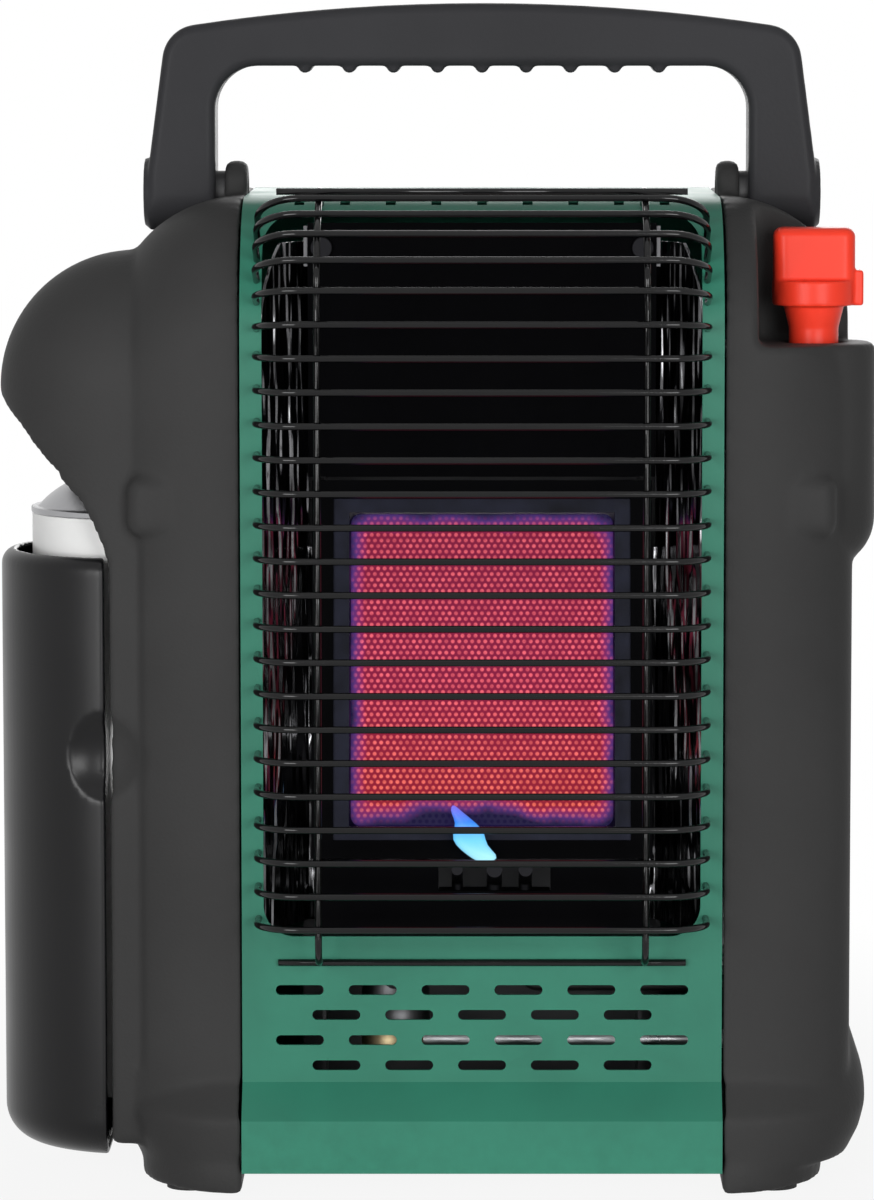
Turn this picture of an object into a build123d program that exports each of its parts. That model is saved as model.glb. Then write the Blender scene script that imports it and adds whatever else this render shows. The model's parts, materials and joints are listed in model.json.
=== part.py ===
"""Portable propane heater: a steel front with a guarded ceramic burner between two moulded
cheeks, a folding carry handle, a push-and-turn control knob and a screw-in gas cartridge
behind a hinged cover.

The model is drawn in the casing's own frame, in millimetres: X = 0 is the casing's middle,
Y = 0 the face of the front panel with +Y to the back, and Z = 0 the ground. Each piece is
then placed so that the origin is under the middle of the whole heater's footprint.
"""
import os
from math import atan2, cos, radians, sin, sqrt

from build123d import *

# ---------------------------------------------------------------- driving dimensions
# Casing
PANEL_HALF = 77.0          # middle of the casing to the inner edge of a cheek
CASE_HALF = 119.5          # middle of the casing to the flat side of a cheek
CASE_DEPTH = 168.0         # face of the front panel to the back
CASE_TOP = 318.6           # ground to the top deck
FRONT_BEND = 44.0          # radius of the panel's bend from the front to the deck
BACK_BEND = 30.0           # radius of the bend from the deck to the back
SHEET = 1.2                # casing steel
THIN_SHEET = 0.8           # reflector and shield steel
WALL = 2.6                 # moulded cheek wall
BULKHEAD = 1.2             # wall between the casing and the cartridge's compartment
FRONT_ROUND = 24.0         # how far a cheek's front falls back to its side
TOP_ROUND = 38.0           # how far a cheek's top falls to its side
SHOULDER_STEPS = (0, 26, 46, 64, 78, 90)   # where a cheek's side outlines stand, degrees

# Base
FOOT_HEIGHT = 8.0          # ground to the underside of the casing
PAD_PROUD = 1.0            # how far a rubber pad stands out of its foot
SKIRT_REACH = 10.0         # how far the base steps out in front of the panel
SKIRT_LOW = 25.0           # height of the lower bend of the step
SKIRT_HIGH = 36.0          # height of the upper bend of the step
SKIRT_FADE = 52.0          # height at which the step runs out on a cheek
SKIRT_HALF = 125.2         # middle of the casing to the widest point of the right skirt
LEFT_SKIRT_HALF = 118.0    # the same on the left, inside the cartridge cover
FOOT_HALF = 111.0          # middle of the casing to the outer edge of a foot
FOOT_INSET = 1.5           # how far the rear feet stand in from the back
FOOT_LENGTH = 36.0

# Window, louvres and header slots in the front panel
WINDOW_HALF = 70.0
WINDOW_FOOT = 83.3
WINDOW_TOP = 313.6
WINDOW_CORNER = 10.0
LOUVRE_LENGTH = 15.4
LOUVRE_HEIGHT = 3.2
LOUVRE_PITCH = 23.4
LOUVRE_ROWS = (65.9, 57.8, 49.6, 41.4)
HEADER_SLOTS = 9
HEADER_PITCH = 14.7
HEADER_SLOT = (3.2, 7.5)   # across and along
HEADER_SLOT_Y = 34.0

# Wire guard
WIRE = 1.9                 # wire diameter
GUARD_DEPTH = 24.0         # panel face to the middle of the front wires
GUARD_HALF = 71.6          # middle to a wire's end in the panel
GUARD_BEND = 14.0          # bend at each end of a cross wire
GUARD_FIRST = 89.2         # height of the lowest cross wire
GUARD_PITCH = 10.65
GUARD_STRAIGHT = 18        # cross wires below the bend
BEND_HOOKS = (3.6, 12.1, 19.4, 26.7, 34.3, 41.9)   # up the bend from its start
BEND_WIRES = ((-24.0, 280.9), (-23.98, 291.55), (-21.84, 301.0), (-16.4, 309.0), (-7.4, 314.9),
              (2.4, 319.5))
UPRIGHT_X = 51.8
UPRIGHT_ROUTE = ((-1.0, 75.0), (-22.45, 79.0), (-22.45, 306.2), (11.5, 322.0), (29.0, 316.8))
UPRIGHT_BENDS = (8.0, 24.5, 6.0)
BAR_HALF = 65.2            # half length of the top and bottom bars
GUARD_BARS = ((-0.95, 75.0), (6.8, 321.5))

# Burner
BURNER_LEAN = 10.0         # degrees from upright
BURNER_FOOT = 112.7        # height of the burner opening's lower edge
BURNER_SET = 12.0          # depth of that edge behind the panel face
OPENING_HALF = 48.0
OPENING_HEIGHT = 110.4
SURROUND_HALF = 55.0
SURROUND_LIP = 6.0         # surround above and below the opening
TILE_HALF = 42.4
TILE_HEIGHT = 100.8
TILE_THICK = 13.0
TILE_SET = 1.5             # tile's face behind the burner's front plate
TILE_GAP = 0.5
GASKET_THICK = 3.0
BURNER_DEPTH = 32.0
MIXER_TUBE = 22.0
MIXER_X = -28.0
MIXER_SET = 17.0           # middle of the mixer tube behind the burner's front plate
MIXER_LENGTH = 57.0
AIR_HOLE = 8.0
JET_HEIGHT = 8.0
APRON_HALF = 53.5

# Handle
HANDLE_Y = 78.0            # depth of the handle's middle and hinge
HANDLE_PIVOT = 319.0       # height of the hinge
GRIP_LIFT = 41.5           # hinge to the grip's underside
GRIP_END = 12.0            # thickness of the grip at its ends
GRIP_CROWN = 8.5           # how much the grip's top rises to its middle
HANDLE_OUTER = 109.8       # middle to the outside of a leg, at the hinge
HANDLE_CORNER = 103.5      # middle to the outside of a leg, at the top
HANDLE_INNER = 87.4        # middle to the inside of a leg
HANDLE_THICK = 25.0        # front to back
OUTER_CORNER = 12.0        # rounding of the handle's corners
INNER_CORNER = 14.0
HANDLE_EDGE = 3.0          # rounding of its long edges
NUB_PITCH = 14.5
NUBS = 9
LEG_CHEEK = 1.4            # how far a leg's round end stands out at the hinge
EAR_OUTER = 84.6
EAR_RADIUS = 10.5
PIN = 6.0
PIN_CLEARANCE = 0.2
RELIEF_CLEARANCE = 0.5     # around a leg in the cheek's top

# Control knob and valve
KNOB_X = 107.0
KNOB_Y = 32.0
SHELF_TOP = 272.4
RECESS_RADIUS = 19.0
VALVE_HOUSING = 20.1       # radius of the bulge under the shelf
VALVE_HOUSING_FOOT = 199.0
VALVE_HOUSING_ROUND = 17.0
NECK = 16.0                # diameter of the knob's neck in the shelf
NECK_TOP = 19.6            # and under the flange
NECK_SHOWN = 11.8          # shelf to the underside of the flange
NECK_HIDDEN = 8.4          # how far the neck reaches below the shelf's top
KNOB_FLANGE = 26.8         # diameter of the flange
FLANGE_THICK = 8.1
KNOB_GRIP = (26.2, 14.0)   # width and depth of the bar that is gripped
GRIP_HEIGHT = 16.9         # flange to the top of the bar
KNOB_ROUND = 4.0
POINTER = (15.8, 9.0, 11.3)  # reach from the axis, width and height of the pointer
STEM = 8.0
STEM_CLEARANCE = 0.2
NECK_CLEARANCE = 0.6
COLLAR_THICK = 1.2
VALVE_BLOCK = 24.0         # width and depth of the valve body
VALVE_HEIGHT = 26.0
BUSHING = 12.0             # diameter of the valve's threaded neck
BUSHING_HEIGHT = 3.5
BRACKET_SHEET = 1.5
IGNITER = 14.0
IGNITER_BACK = 26.0        # knob's axis to the igniter's
IGNITER_FOOT = 222.0
IGNITER_TOP = 258.0

# Cartridge, its hood and its cover
CARTRIDGE_X = -113.0
CARTRIDGE_Y = 55.0
CARTRIDGE = 68.6           # diameter of the cartridge
CARTRIDGE_FOOT = 26.0
CARTRIDGE_SEAM = 215.5     # height of the seam between the wall and the dome
HOOD = 44.4                # outer radius of the hood and of the cover
HOOD_CENTRE = 256.6        # height of the middle of the hood's dome
TROUGH_FLOOR = 13.0
COVER_EDGE = 120.4         # middle of the casing to the housing's edge at the cover
COVER_GAP = 0.5
COVER_WALL = 2.4
COVER_FOOT = 8.0
COVER_TOP = 204.0
COVER_RIM = 5.0            # rounding of the cover's rim
COVER_CORNER = 12.0
SCOOP_HEIGHT = 139.7
SCOOP_SIDE = 1.4           # scoop's middle outside the cover's edge
SCOOP_BALL = 20.3          # radius of the finger scoop
SCOOP_OUT = 14.7           # middle of its ball outside the surface
HINGE_OUT = 3.8            # cover's edge to the hinge, across
HINGE_BACK = 47.9          # cartridge's axis to the hinge, front to back
HINGE_PIN = 3.2
KNUCKLE = 8.0
KNUCKLE_GAP = 0.5
KNUCKLE_HEIGHT = 10.0      # length of one knuckle
HINGE_HEIGHTS = (45.0, 165.0)   # middle of each hinge
STEP_TOP = 214.0           # top of the step that narrows the left cheek's front
STEP_X = 109.0
STEP_FOOT = 38.0
BOSS_HEIGHT = 221.0
BOSS = (17.0, 14.0, 20.0)  # width, depth and height of the soft boss on each cheek
BOSS_ROUND = 5.0

# Smaller things
RELIEF_LENGTH = 58.0       # front to back of the space for a handle leg
EAR_FOOT = 6.0             # how far a lug reaches below the pin
BOSS_X = 105.0
BOSS_FACE = 3.0            # how far the boss's face lies behind the panel's
PAD_RADIUS = 8.0
PAD_THICK = 4.0
HOOD_SLANT = ((-127.0, 219.2), (-156.1, 253.2))
HOOD_SLANT_ROUND = 20.0
OUTLET_BACK = 6.0          # cartridge's axis to the regulator's outlet
OUTLET_Z = 266.0
OUTLET_X = -86.0           # end of the regulator's outlet
PIPE = 6.0
PIPE_HOLE = 8.0
LEAD = 3.0
LEAD_BEND = 5.0
DECK_SEAM = 60.0           # where the front panel meets the back cover on the deck
DECK_VENT = (5.0, 34.0)    # across and along
DECK_VENTS = 9
DECK_VENT_PITCH = 14.7
BACK_VENT_LENGTH = 32.0
BACK_VENT_PITCH = 8.2
BACK_VENT_ROWS = 5
BACK_VENT_HEIGHTS = (70.0, 250.0)
REGULATOR = 26.0           # radius
REGULATOR_FOOT = 252.0
REGULATOR_HEIGHT = 18.0
CAP_HEIGHT = 12.0
INLET = 28.0
INLET_FOOT = 238.2
INLET_BORE = 11.6
INLET_SEAT = 250.0
VALVE_TIP = 248.0          # top of the cartridge's valve
CARTRIDGE_VALVE = 11.0
COLLAR_TOP = 238.0
COLLAR_FOOT = 228.0
RING = 34.6                # radius of the cartridge's rolled seam
WASHER = 14.0
PIN_DEPTH = 19.0           # how far a handle pin's bore reaches into a leg
NUB = 4.4                  # width of a nub on the grip
NUB_PROUD = 2.4
NUB_SET = 2.0              # nub's end behind the grip's face
HINGE_WEB = 6.5
BRACKET_X = 90.0
BRACKET_REACH = 8.0        # how far the valve's bracket goes beyond the knob's axis
BRACKET_LENGTH = 48.0
RECESS_EDGE = 87.0
KNOB_PUSH = 3.5
COLLAR = 15.0
SPRING_ROOM = 5.8
SPRING_PITCH = 1.9
SPRING_RADIUS = 5.0
STEM_BELOW = 13.5          # how far the stem reaches into the valve
STEM_ABOVE = 11.0          # how far it reaches into the knob's neck
SENSOR_PORT = 7.0          # sensor's port behind the knob's axis
SPRING_WIRE = 1.0
PANEL_SCREW = 7.0          # head of the back cover's screws
SCREW_HEAD = 2.0           # height of a screw's head
PANEL_SCREW_X = 70.0
PANEL_SCREW_HEIGHTS = (24.0, 160.0, 278.0)
HOUSING_HALF = 51.0        # burner's box
HOUSING_HEIGHT = 116.0
LEG_HALF = 52.2            # outer face of a burner bracket
APRON_FOLD = (1.2, 83.0)   # fold between the apron's flange and its slope
APRON_FOOT = 77.0
DEFLECTOR_HALF = 56.0
DEFLECTOR_FOLD = (22.0, 296.0)
DEFLECTOR_TOP = 311.0
DEFLECTOR_SCREW_X = 51.5
DEFLECTOR_SCREW_Z = 303.0
WING_FOOT = 84.0
WING_TOP = 305.0
WING_FLANGE_TOP = 206.0
LEG_OUTLINE = ((36.0, 9.2), (62.0, 9.2), (62.0, 250.0), (30.0, 309.0), (24.0, 309.0),
               (24.0, 298.0), (34.9, 228.2), (BURNER_SET + 20.2, 227.2), (BURNER_SET + 1.39, 120.58),
               (36.0, 100.0))
APRON_TOP = (10.9, 106.6)
NOTCH = (-14.0, 22.0)      # gap in the apron's top, across
NOTCH_FOOT = 97.0
DEFLECTOR_FOOT = (33.4, 228.4)
WING_REAR = 30.0
WING_PLAN = ((71.4, 1.0), (57.0, 30.8), (56.0, 30.8), (70.3, 1.0))
PILOT_X = 4.0
PROBE_X = -8.0
SPARK_X = 14.0
PILOT_PLATE = 94.0         # underside of the pilot's bracket
PILOT_Y = 22.0
PILOT_REACH = 3.0
PILOT_HEIGHT = 104.5
SHIELD_Y = 70.0
SHIELD_HALF = 59.5
SHIELD_TOP = 300.0
SHIELD_FLANGE = 12.0
SWITCH_BOX = (30.0, 24.0, 22.0)
SWITCH_Y = 112.0

# Routes of the pipes and leads
SUPPLY_X = -64.0           # where the supply pipe turns inside the left bulkhead
SUPPLY_Y = 100.0           # its run behind the heat shield
SUPPLY_PORT = 246.0        # height of its port in the valve
SUPPLY_BEND = 3.4
RISER_X = 88.0
BURNER_PIPE_X = 86.0
BURNER_PIPE_Z = 212.0
BURNER_BENDS = (7.0, 5.0, 5.0, 7.0)
PILOT_PORT = 238.0
PILOT_PIPE_X = 80.5
PILOT_PIPE_Z = 74.0
PILOT_RISE = 99.0          # height at which the pilot's tips lean forward
PILOT_BEND = 3.0
PILOT_TUBE = 5.0
PROBE = 3.6
SPARK_ROD = 4.4
SENSOR_PORT_Z = 236.0
SENSOR_X = 79.5
SENSOR_Y = 26.0
SENSOR_Z = 68.0
SENSOR_BEND = 1.9
LEAD_RISE = 80.0           # height at which the leads step forward under the pilot
IGNITION_X = 91.0
IGNITION_Y = 30.0
IGNITION_Z = 62.0
IGNITION_HIGH = 205.0
IGNITION_BEND = 3.9
SWITCH_PORT = 20.0
SWITCH_LEAD_X = 98.0
SWITCH_LEAD_Z = 240.0

# ---------------------------------------------------------------- worked out from them
HOOD_REACH = HOOD - CARTRIDGE_X
GRIP_UNDER = HANDLE_PIVOT + GRIP_LIFT
HANDLE_SHOULDER = GRIP_UNDER + GRIP_END
HANDLE_TOP = HANDLE_SHOULDER + GRIP_CROWN
HANDLE_FOOT = HANDLE_PIVOT - HANDLE_THICK / 2
HINGE_X = -COVER_EDGE - HINGE_OUT
HINGE_Y = CARTRIDGE_Y + HINGE_BACK
OUTLET_Y = CARTRIDGE_Y + OUTLET_BACK
SCOOP_X = -COVER_EDGE - SCOOP_SIDE
STEP_Y = CARTRIDGE_Y - HOOD
IGNITER_Y = KNOB_Y + IGNITER_BACK
NECK_FOOT = SHELF_TOP - NECK_HIDDEN
KNOB_BASE = SHELF_TOP + NECK_SHOWN
FLANGE_TOP = KNOB_BASE + FLANGE_THICK
VALVE_TOP = NECK_FOOT - COLLAR_THICK - SPRING_ROOM - BUSHING_HEIGHT
STEM_FOOT = VALVE_TOP - STEM_BELOW
STEM_TOP = NECK_FOOT + STEM_ABOVE
VALVE_REACH = KNOB_X + VALVE_HOUSING
GUARD_FRONT = GUARD_DEPTH + WIRE / 2
FOOTPRINT = Location(((HOOD_REACH - VALVE_REACH) / 2,
                      (GUARD_FRONT - CASE_DEPTH - SCREW_HEAD) / 2, 0))
BEND_Y = FRONT_BEND
BEND_Z = CASE_TOP - FRONT_BEND
SHELF_UNDER = SHELF_TOP - WALL
CARTRIDGE_AXIS = Axis((CARTRIDGE_X, CARTRIDGE_Y, 0), (0, 0, 1))
BURNER = Plane(origin=(0, BURNER_SET, BURNER_FOOT), x_dir=(1, 0, 0),
               z_dir=(0, -cos(radians(BURNER_LEAN)), sin(radians(BURNER_LEAN))))
SCOOP_SLOPE = (SCOOP_X - CARTRIDGE_X) / HOOD
SCOOP_CENTRE = (CARTRIDGE_X + SCOOP_SLOPE * (HOOD + SCOOP_OUT),
                CARTRIDGE_Y - sqrt(1 - SCOOP_SLOPE ** 2) * (HOOD + SCOOP_OUT), SCOOP_HEIGHT)
APRON_LEAN = atan2(APRON_TOP[0] - APRON_FOLD[0], APRON_TOP[1] - APRON_FOLD[1])
APRON_FACE = Plane(origin=(0, *APRON_FOLD), x_dir=(1, 0, 0),
                   z_dir=(0, -cos(APRON_LEAN), sin(APRON_LEAN)))
MIXER_FOOT = (OPENING_HEIGHT - HOUSING_HEIGHT) / 2
MIXER = Plane(BURNER.location * Location((MIXER_X, MIXER_FOOT, -MIXER_SET), (90, 0, 0)))


def write(piece, name):
    """Place a finished piece under the footprint's middle, label it and write it."""
    piece.part.locate(FOOTPRINT)
    piece.part.label = name
    export_step(piece.part, f"parts/{name}.step")


def upper_sections(side, wall):
    """Side outlines of a cheek's upper body, from the panel out to the flat side."""
    faces = []
    for angle in SHOULDER_STEPS:
        fall = 1 - cos(radians(angle))
        plane = Plane.YZ.offset(side * (PANEL_HALF + (CASE_HALF - wall - PANEL_HALF) * sin(radians(angle))))
        front = wall + FRONT_ROUND * fall
        back = CASE_DEPTH - wall - FRONT_ROUND * fall
        top = CASE_TOP - wall - TOP_ROUND * fall
        foot = SKIRT_LOW - wall
        bend = FRONT_BEND - wall
        rear_bend = BACK_BEND - wall
        with BuildSketch(plane) as outline:
            with BuildLine():
                Line((back, foot), (front, foot))
                Line((front, foot), (front, top - bend))
                RadiusArc((front, top - bend), (front + bend, top), bend)
                Line((front + bend, top), (back - rear_bend, top))
                RadiusArc((back - rear_bend, top), (back, top - rear_bend), rear_bend)
                Line((back, top - rear_bend), (back, foot))
            make_face()
        faces.append(outline.sketch)
    return faces


def skirt_section(side, height, reach, half, wall):
    """Plan outline of a cheek's base at one height."""
    front = wall - reach
    width = half - wall - PANEL_HALF
    back = CASE_DEPTH - wall
    with BuildSketch(Plane.XY.offset(height)) as outline:
        with BuildLine():
            Line((PANEL_HALF, back), (PANEL_HALF, front))
            EllipticalCenterArc((PANEL_HALF, front + 40), width, 40, start_angle=270, arc_size=90)
            Line((PANEL_HALF + width, front + 40), (PANEL_HALF + width, back - 30))
            EllipticalCenterArc((PANEL_HALF, back - 30), width, 30, arc_size=90)
        make_face()
        if side < 0:
            mirror(about=Plane.YZ, mode=Mode.REPLACE)
    return outline.sketch


def skirt_sections(side, half, wall):
    """Plan outlines of a cheek's base, from its underside up to where it runs into the side."""
    top_half = CASE_HALF - 0.5 + min(half - CASE_HALF, 0)
    middle = (SKIRT_LOW + SKIRT_HIGH) / 2
    levels = ((FOOT_HEIGHT + wall, SKIRT_REACH - 1.5, half - 6.5),
              (SKIRT_LOW - 8, SKIRT_REACH - 0.5, half - 2),
              (SKIRT_LOW, SKIRT_REACH, half - 0.1),
              (middle, SKIRT_REACH / 2, half),
              (SKIRT_HIGH, 0.4, half - 1),
              ((SKIRT_HIGH + SKIRT_FADE) / 2, -2, half - 3.6),
              (SKIRT_FADE, -4, top_half))
    return [skirt_section(side, height, reach, width, wall) for height, reach, width in levels]


def knob_recess(height, grow):
    """Plan of the space around the knob, open to the front and to the side."""
    reach = 60
    left = KNOB_X - RECESS_RADIUS - grow
    back = KNOB_Y + RECESS_RADIUS + grow
    with BuildSketch(Plane.XY.offset(height)) as plan:
        with Locations((KNOB_X, KNOB_Y)):
            Circle(RECESS_RADIUS + grow)
        with Locations((left, KNOB_Y)):
            Rectangle(reach, reach, align=(Align.MIN, Align.MAX))
        with Locations((KNOB_X, back)):
            Rectangle(reach, reach, align=(Align.MIN, Align.MAX))
    return plan.sketch


def leg_relief(side, grow):
    """Space in a cheek's top for the handle's leg, upright and folded back."""
    low = HANDLE_PIVOT - HANDLE_THICK / 2 - RELIEF_CLEARANCE - grow
    front = HANDLE_Y - HANDLE_THICK / 2 - RELIEF_CLEARANCE - grow
    with BuildSketch(Plane.XY.offset(low)) as plan:
        with Locations((side * (EAR_OUTER - grow), front)):
            align = (Align.MIN if side > 0 else Align.MAX, Align.MIN)
            Rectangle(50, RELIEF_LENGTH + 2 * grow, align=align)
    return plan.sketch


def feet_plan(side):
    """Plan of a cheek's front and rear feet."""
    between = CASE_DEPTH + SKIRT_REACH - 2 * FOOT_LENGTH
    with BuildSketch(Plane.XY.offset(PAD_PROUD)) as plan:
        add(skirt_section(1, 0, SKIRT_REACH + FOOT_INSET, FOOT_HALF + FOOT_INSET, FOOT_INSET))
        with Locations((PANEL_HALF, FOOT_LENGTH - SKIRT_REACH)):
            Rectangle(FOOT_HALF, between, align=(Align.CENTER, Align.MIN), mode=Mode.SUBTRACT)
        if side < 0:
            mirror(about=Plane.YZ, mode=Mode.REPLACE)
    return plan.sketch


def boss(side):
    """Soft raised boss on a cheek's front."""
    with BuildPart() as piece:
        with Locations((side * BOSS_X, BOSS_FACE, BOSS_HEIGHT)):
            Box(*BOSS, align=(Align.CENTER, Align.MIN, Align.CENTER))
        fillet(piece.edges(), BOSS_ROUND)
    return piece.part


def ear_outline(side):
    """Side outline of the lug that carries the handle's pin."""
    with BuildSketch(Plane.YZ.offset(side * PANEL_HALF)) as outline:
        with Locations((HANDLE_Y, HANDLE_PIVOT)):
            Circle(EAR_RADIUS)
            Rectangle(2 * EAR_RADIUS, EAR_FOOT, align=(Align.CENTER, Align.MAX))
    return outline.sketch


def hood_outline(wall):
    """Half outline of the cartridge hood and trough, beside the cartridge's axis."""
    radius = HOOD - wall
    floor = TROUGH_FLOOR + wall
    with BuildSketch() as outline:
        with BuildLine():
            Line((CARTRIDGE_X, HOOD_CENTRE + radius), (CARTRIDGE_X, floor))
            Line((CARTRIDGE_X, floor), (CARTRIDGE_X - radius, floor))
            Line((CARTRIDGE_X - radius, floor), (CARTRIDGE_X - radius, HOOD_CENTRE))
            CenterArc((CARTRIDGE_X, HOOD_CENTRE), radius, 90, 90)
        make_face()
    return outline.sketch


def pad_places():
    """Middle of each rubber pad."""
    x = (PANEL_HALF + FOOT_HALF) / 2
    front = FOOT_LENGTH / 2 - SKIRT_REACH + 2
    rear = CASE_DEPTH - FOOT_LENGTH / 2 - 2
    return [(side * x, y) for side in (-1, 1) for y in (front, rear)]


def routed(points, bend, diameter):
    """A pipe, wire or lead bent along a route."""
    with BuildPart() as piece:
        with BuildLine():
            route = FilletPolyline(*points, radius=bend)
        with BuildSketch(Plane(origin=route @ 0, z_dir=route % 0)):
            Circle(diameter / 2)
        sweep()
    return piece


def row(count, pitch, height):
    """Places of equal openings side by side."""
    return [((i - (count - 1) / 2) * pitch, height) for i in range(count)]


def on_bend(arc_length):
    """Point of the front panel's bend, measured up its face from the bend's start."""
    angle = arc_length / FRONT_BEND
    return BEND_Y - FRONT_BEND * cos(angle), BEND_Z + FRONT_BEND * sin(angle)


# ---------------------------------------------------------------- right cheek
with BuildPart() as right_cavity:
    with Locations((KNOB_X, KNOB_Y, VALVE_HOUSING_FOOT + WALL)):
        Cylinder(VALVE_HOUSING - WALL, SHELF_TOP - VALVE_HOUSING_FOOT - 2 * WALL,
                 align=(Align.CENTER, Align.CENTER, Align.MIN))
    low_edge = right_cavity.edges().filter_by(GeomType.CIRCLE).sort_by(Axis.Z)[0]
    fillet(low_edge, VALVE_HOUSING_ROUND - WALL)
    loft(upper_sections(1, WALL))
    loft(skirt_sections(1, SKIRT_HALF, WALL), ruled=True)
    extrude(knob_recess(SHELF_TOP - WALL, WALL), amount=80, mode=Mode.SUBTRACT)
    extrude(leg_relief(1, WALL), amount=60, mode=Mode.SUBTRACT)

with BuildPart() as right_housing:
    with Locations((KNOB_X, KNOB_Y, VALVE_HOUSING_FOOT)):
        Cylinder(VALVE_HOUSING, SHELF_TOP - VALVE_HOUSING_FOOT,
                 align=(Align.CENTER, Align.CENTER, Align.MIN))
    low_edge = right_housing.edges().filter_by(GeomType.CIRCLE).sort_by(Axis.Z)[0]
    fillet(low_edge, VALVE_HOUSING_ROUND)
    loft(upper_sections(1, 0))
    loft(skirt_sections(1, SKIRT_HALF, 0), ruled=True)
    add(boss(1))
    extrude(feet_plan(1), amount=FOOT_HEIGHT - PAD_PROUD + 1)
    extrude(knob_recess(SHELF_TOP, 0), amount=80, mode=Mode.SUBTRACT)
    extrude(leg_relief(1, 0), amount=60, mode=Mode.SUBTRACT)
    add(right_cavity.part, mode=Mode.SUBTRACT)
    extrude(ear_outline(1), amount=EAR_OUTER - PANEL_HALF)
    with Locations((KNOB_X, KNOB_Y, SHELF_TOP)):
        Cylinder(NECK / 2 + NECK_CLEARANCE, 4 * WALL, mode=Mode.SUBTRACT)
    with Locations((PANEL_HALF, HANDLE_Y, HANDLE_PIVOT)):
        Cylinder(PIN / 2, 40, rotation=(0, 90, 0), mode=Mode.SUBTRACT)
    with Locations([(x, y, 0) for x, y in pad_places() if x > 0]):
        Cylinder(PAD_RADIUS, PAD_THICK, align=(Align.CENTER, Align.CENTER, Align.MIN),
                 mode=Mode.SUBTRACT)

# ---------------------------------------------------------------- left cheek with its hood
with BuildPart() as trough:
    with BuildSketch(Plane.XZ.offset(-CARTRIDGE_Y)):
        add(hood_outline(0))
    revolve(axis=CARTRIDGE_AXIS)
    split(bisect_by=Plane.YZ.offset(5 - PANEL_HALF), keep=Keep.BOTTOM)

with BuildPart() as compartment:
    with BuildSketch(Plane.XZ.offset(-CARTRIDGE_Y)):
        add(hood_outline(WALL))
    revolve(axis=CARTRIDGE_AXIS)
    split(bisect_by=Plane.YZ.offset(-PANEL_HALF - BULKHEAD), keep=Keep.BOTTOM)
    with Locations(SCOOP_CENTRE):
        Sphere(SCOOP_BALL + WALL, mode=Mode.SUBTRACT)

with BuildPart() as left_cavity:
    loft(upper_sections(-1, WALL))
    loft(skirt_sections(-1, LEFT_SKIRT_HALF, WALL), ruled=True)
    extrude(leg_relief(-1, WALL), amount=60, mode=Mode.SUBTRACT)
    with Locations((-STEP_X + WALL, STEP_Y + WALL, STEP_FOOT - WALL)):
        Box(60, 60, STEP_TOP - STEP_FOOT + 2 * WALL, align=(Align.MAX, Align.MAX, Align.MIN),
            mode=Mode.SUBTRACT)
    add(trough.part, mode=Mode.SUBTRACT)

with BuildPart() as left_housing:
    loft(upper_sections(-1, 0))
    add(trough.part)
    split(bisect_by=Plane.YZ.offset(-PANEL_HALF), keep=Keep.BOTTOM)
    loft(skirt_sections(-1, LEFT_SKIRT_HALF, 0), ruled=True)
    with Locations((-STEP_X, STEP_Y, STEP_FOOT)):
        Box(60, 60, STEP_TOP - STEP_FOOT, align=(Align.MAX, Align.MAX, Align.MIN),
            mode=Mode.SUBTRACT)
    add(boss(-1))
    extrude(feet_plan(-1), amount=FOOT_HEIGHT - PAD_PROUD + 1)
    with BuildSketch(Plane.XZ.offset(-CASE_DEPTH)) as mouth:
        with BuildLine():
            Polyline((-COVER_EDGE, 0), (-COVER_EDGE, COVER_TOP), *HOOD_SLANT, (-200, 276), (-200, 0),
                     close=True)
        make_face()
        for corner in ((-COVER_EDGE, COVER_TOP), HOOD_SLANT[0]):
            fillet(mouth.vertices().sort_by_distance(corner)[0], HOOD_SLANT_ROUND)
    extrude(amount=CASE_DEPTH + 60, mode=Mode.SUBTRACT)
    extrude(leg_relief(-1, 0), amount=60, mode=Mode.SUBTRACT)
    add(left_cavity.part, mode=Mode.SUBTRACT)
    add(compartment.part, mode=Mode.SUBTRACT)
    with Locations(SCOOP_CENTRE):
        Sphere(SCOOP_BALL, mode=Mode.SUBTRACT)
    with Locations([(HINGE_X, HINGE_Y, z + side * KNUCKLE_HEIGHT) for z in HINGE_HEIGHTS
                    for side in (-1, 1)]):
        Cylinder(KNUCKLE / 2, KNUCKLE_HEIGHT - KNUCKLE_GAP)
        Box(-HINGE_X - CASE_HALF + WALL / 2, KNUCKLE, KNUCKLE_HEIGHT - KNUCKLE_GAP,
            align=(Align.MIN, Align.CENTER, Align.CENTER))
    with Locations((HINGE_X, HINGE_Y, 0)):
        Cylinder(HINGE_PIN / 2, CASE_TOP, align=(Align.CENTER, Align.CENTER, Align.MIN),
                 mode=Mode.SUBTRACT)
    extrude(ear_outline(-1), amount=-(EAR_OUTER - PANEL_HALF))
    with Locations((-PANEL_HALF, HANDLE_Y, HANDLE_PIVOT)):
        Cylinder(PIN / 2, 40, rotation=(0, 90, 0), mode=Mode.SUBTRACT)
    with Locations((-PANEL_HALF, OUTLET_Y, OUTLET_Z)):
        Cylinder(PIPE_HOLE / 2, 20, rotation=(0, 90, 0), mode=Mode.SUBTRACT)
    with Locations([(x, y, 0) for x, y in pad_places() if x < 0]):
        Cylinder(PAD_RADIUS, PAD_THICK, align=(Align.CENTER, Align.CENTER, Align.MIN),
                 mode=Mode.SUBTRACT)

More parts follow.
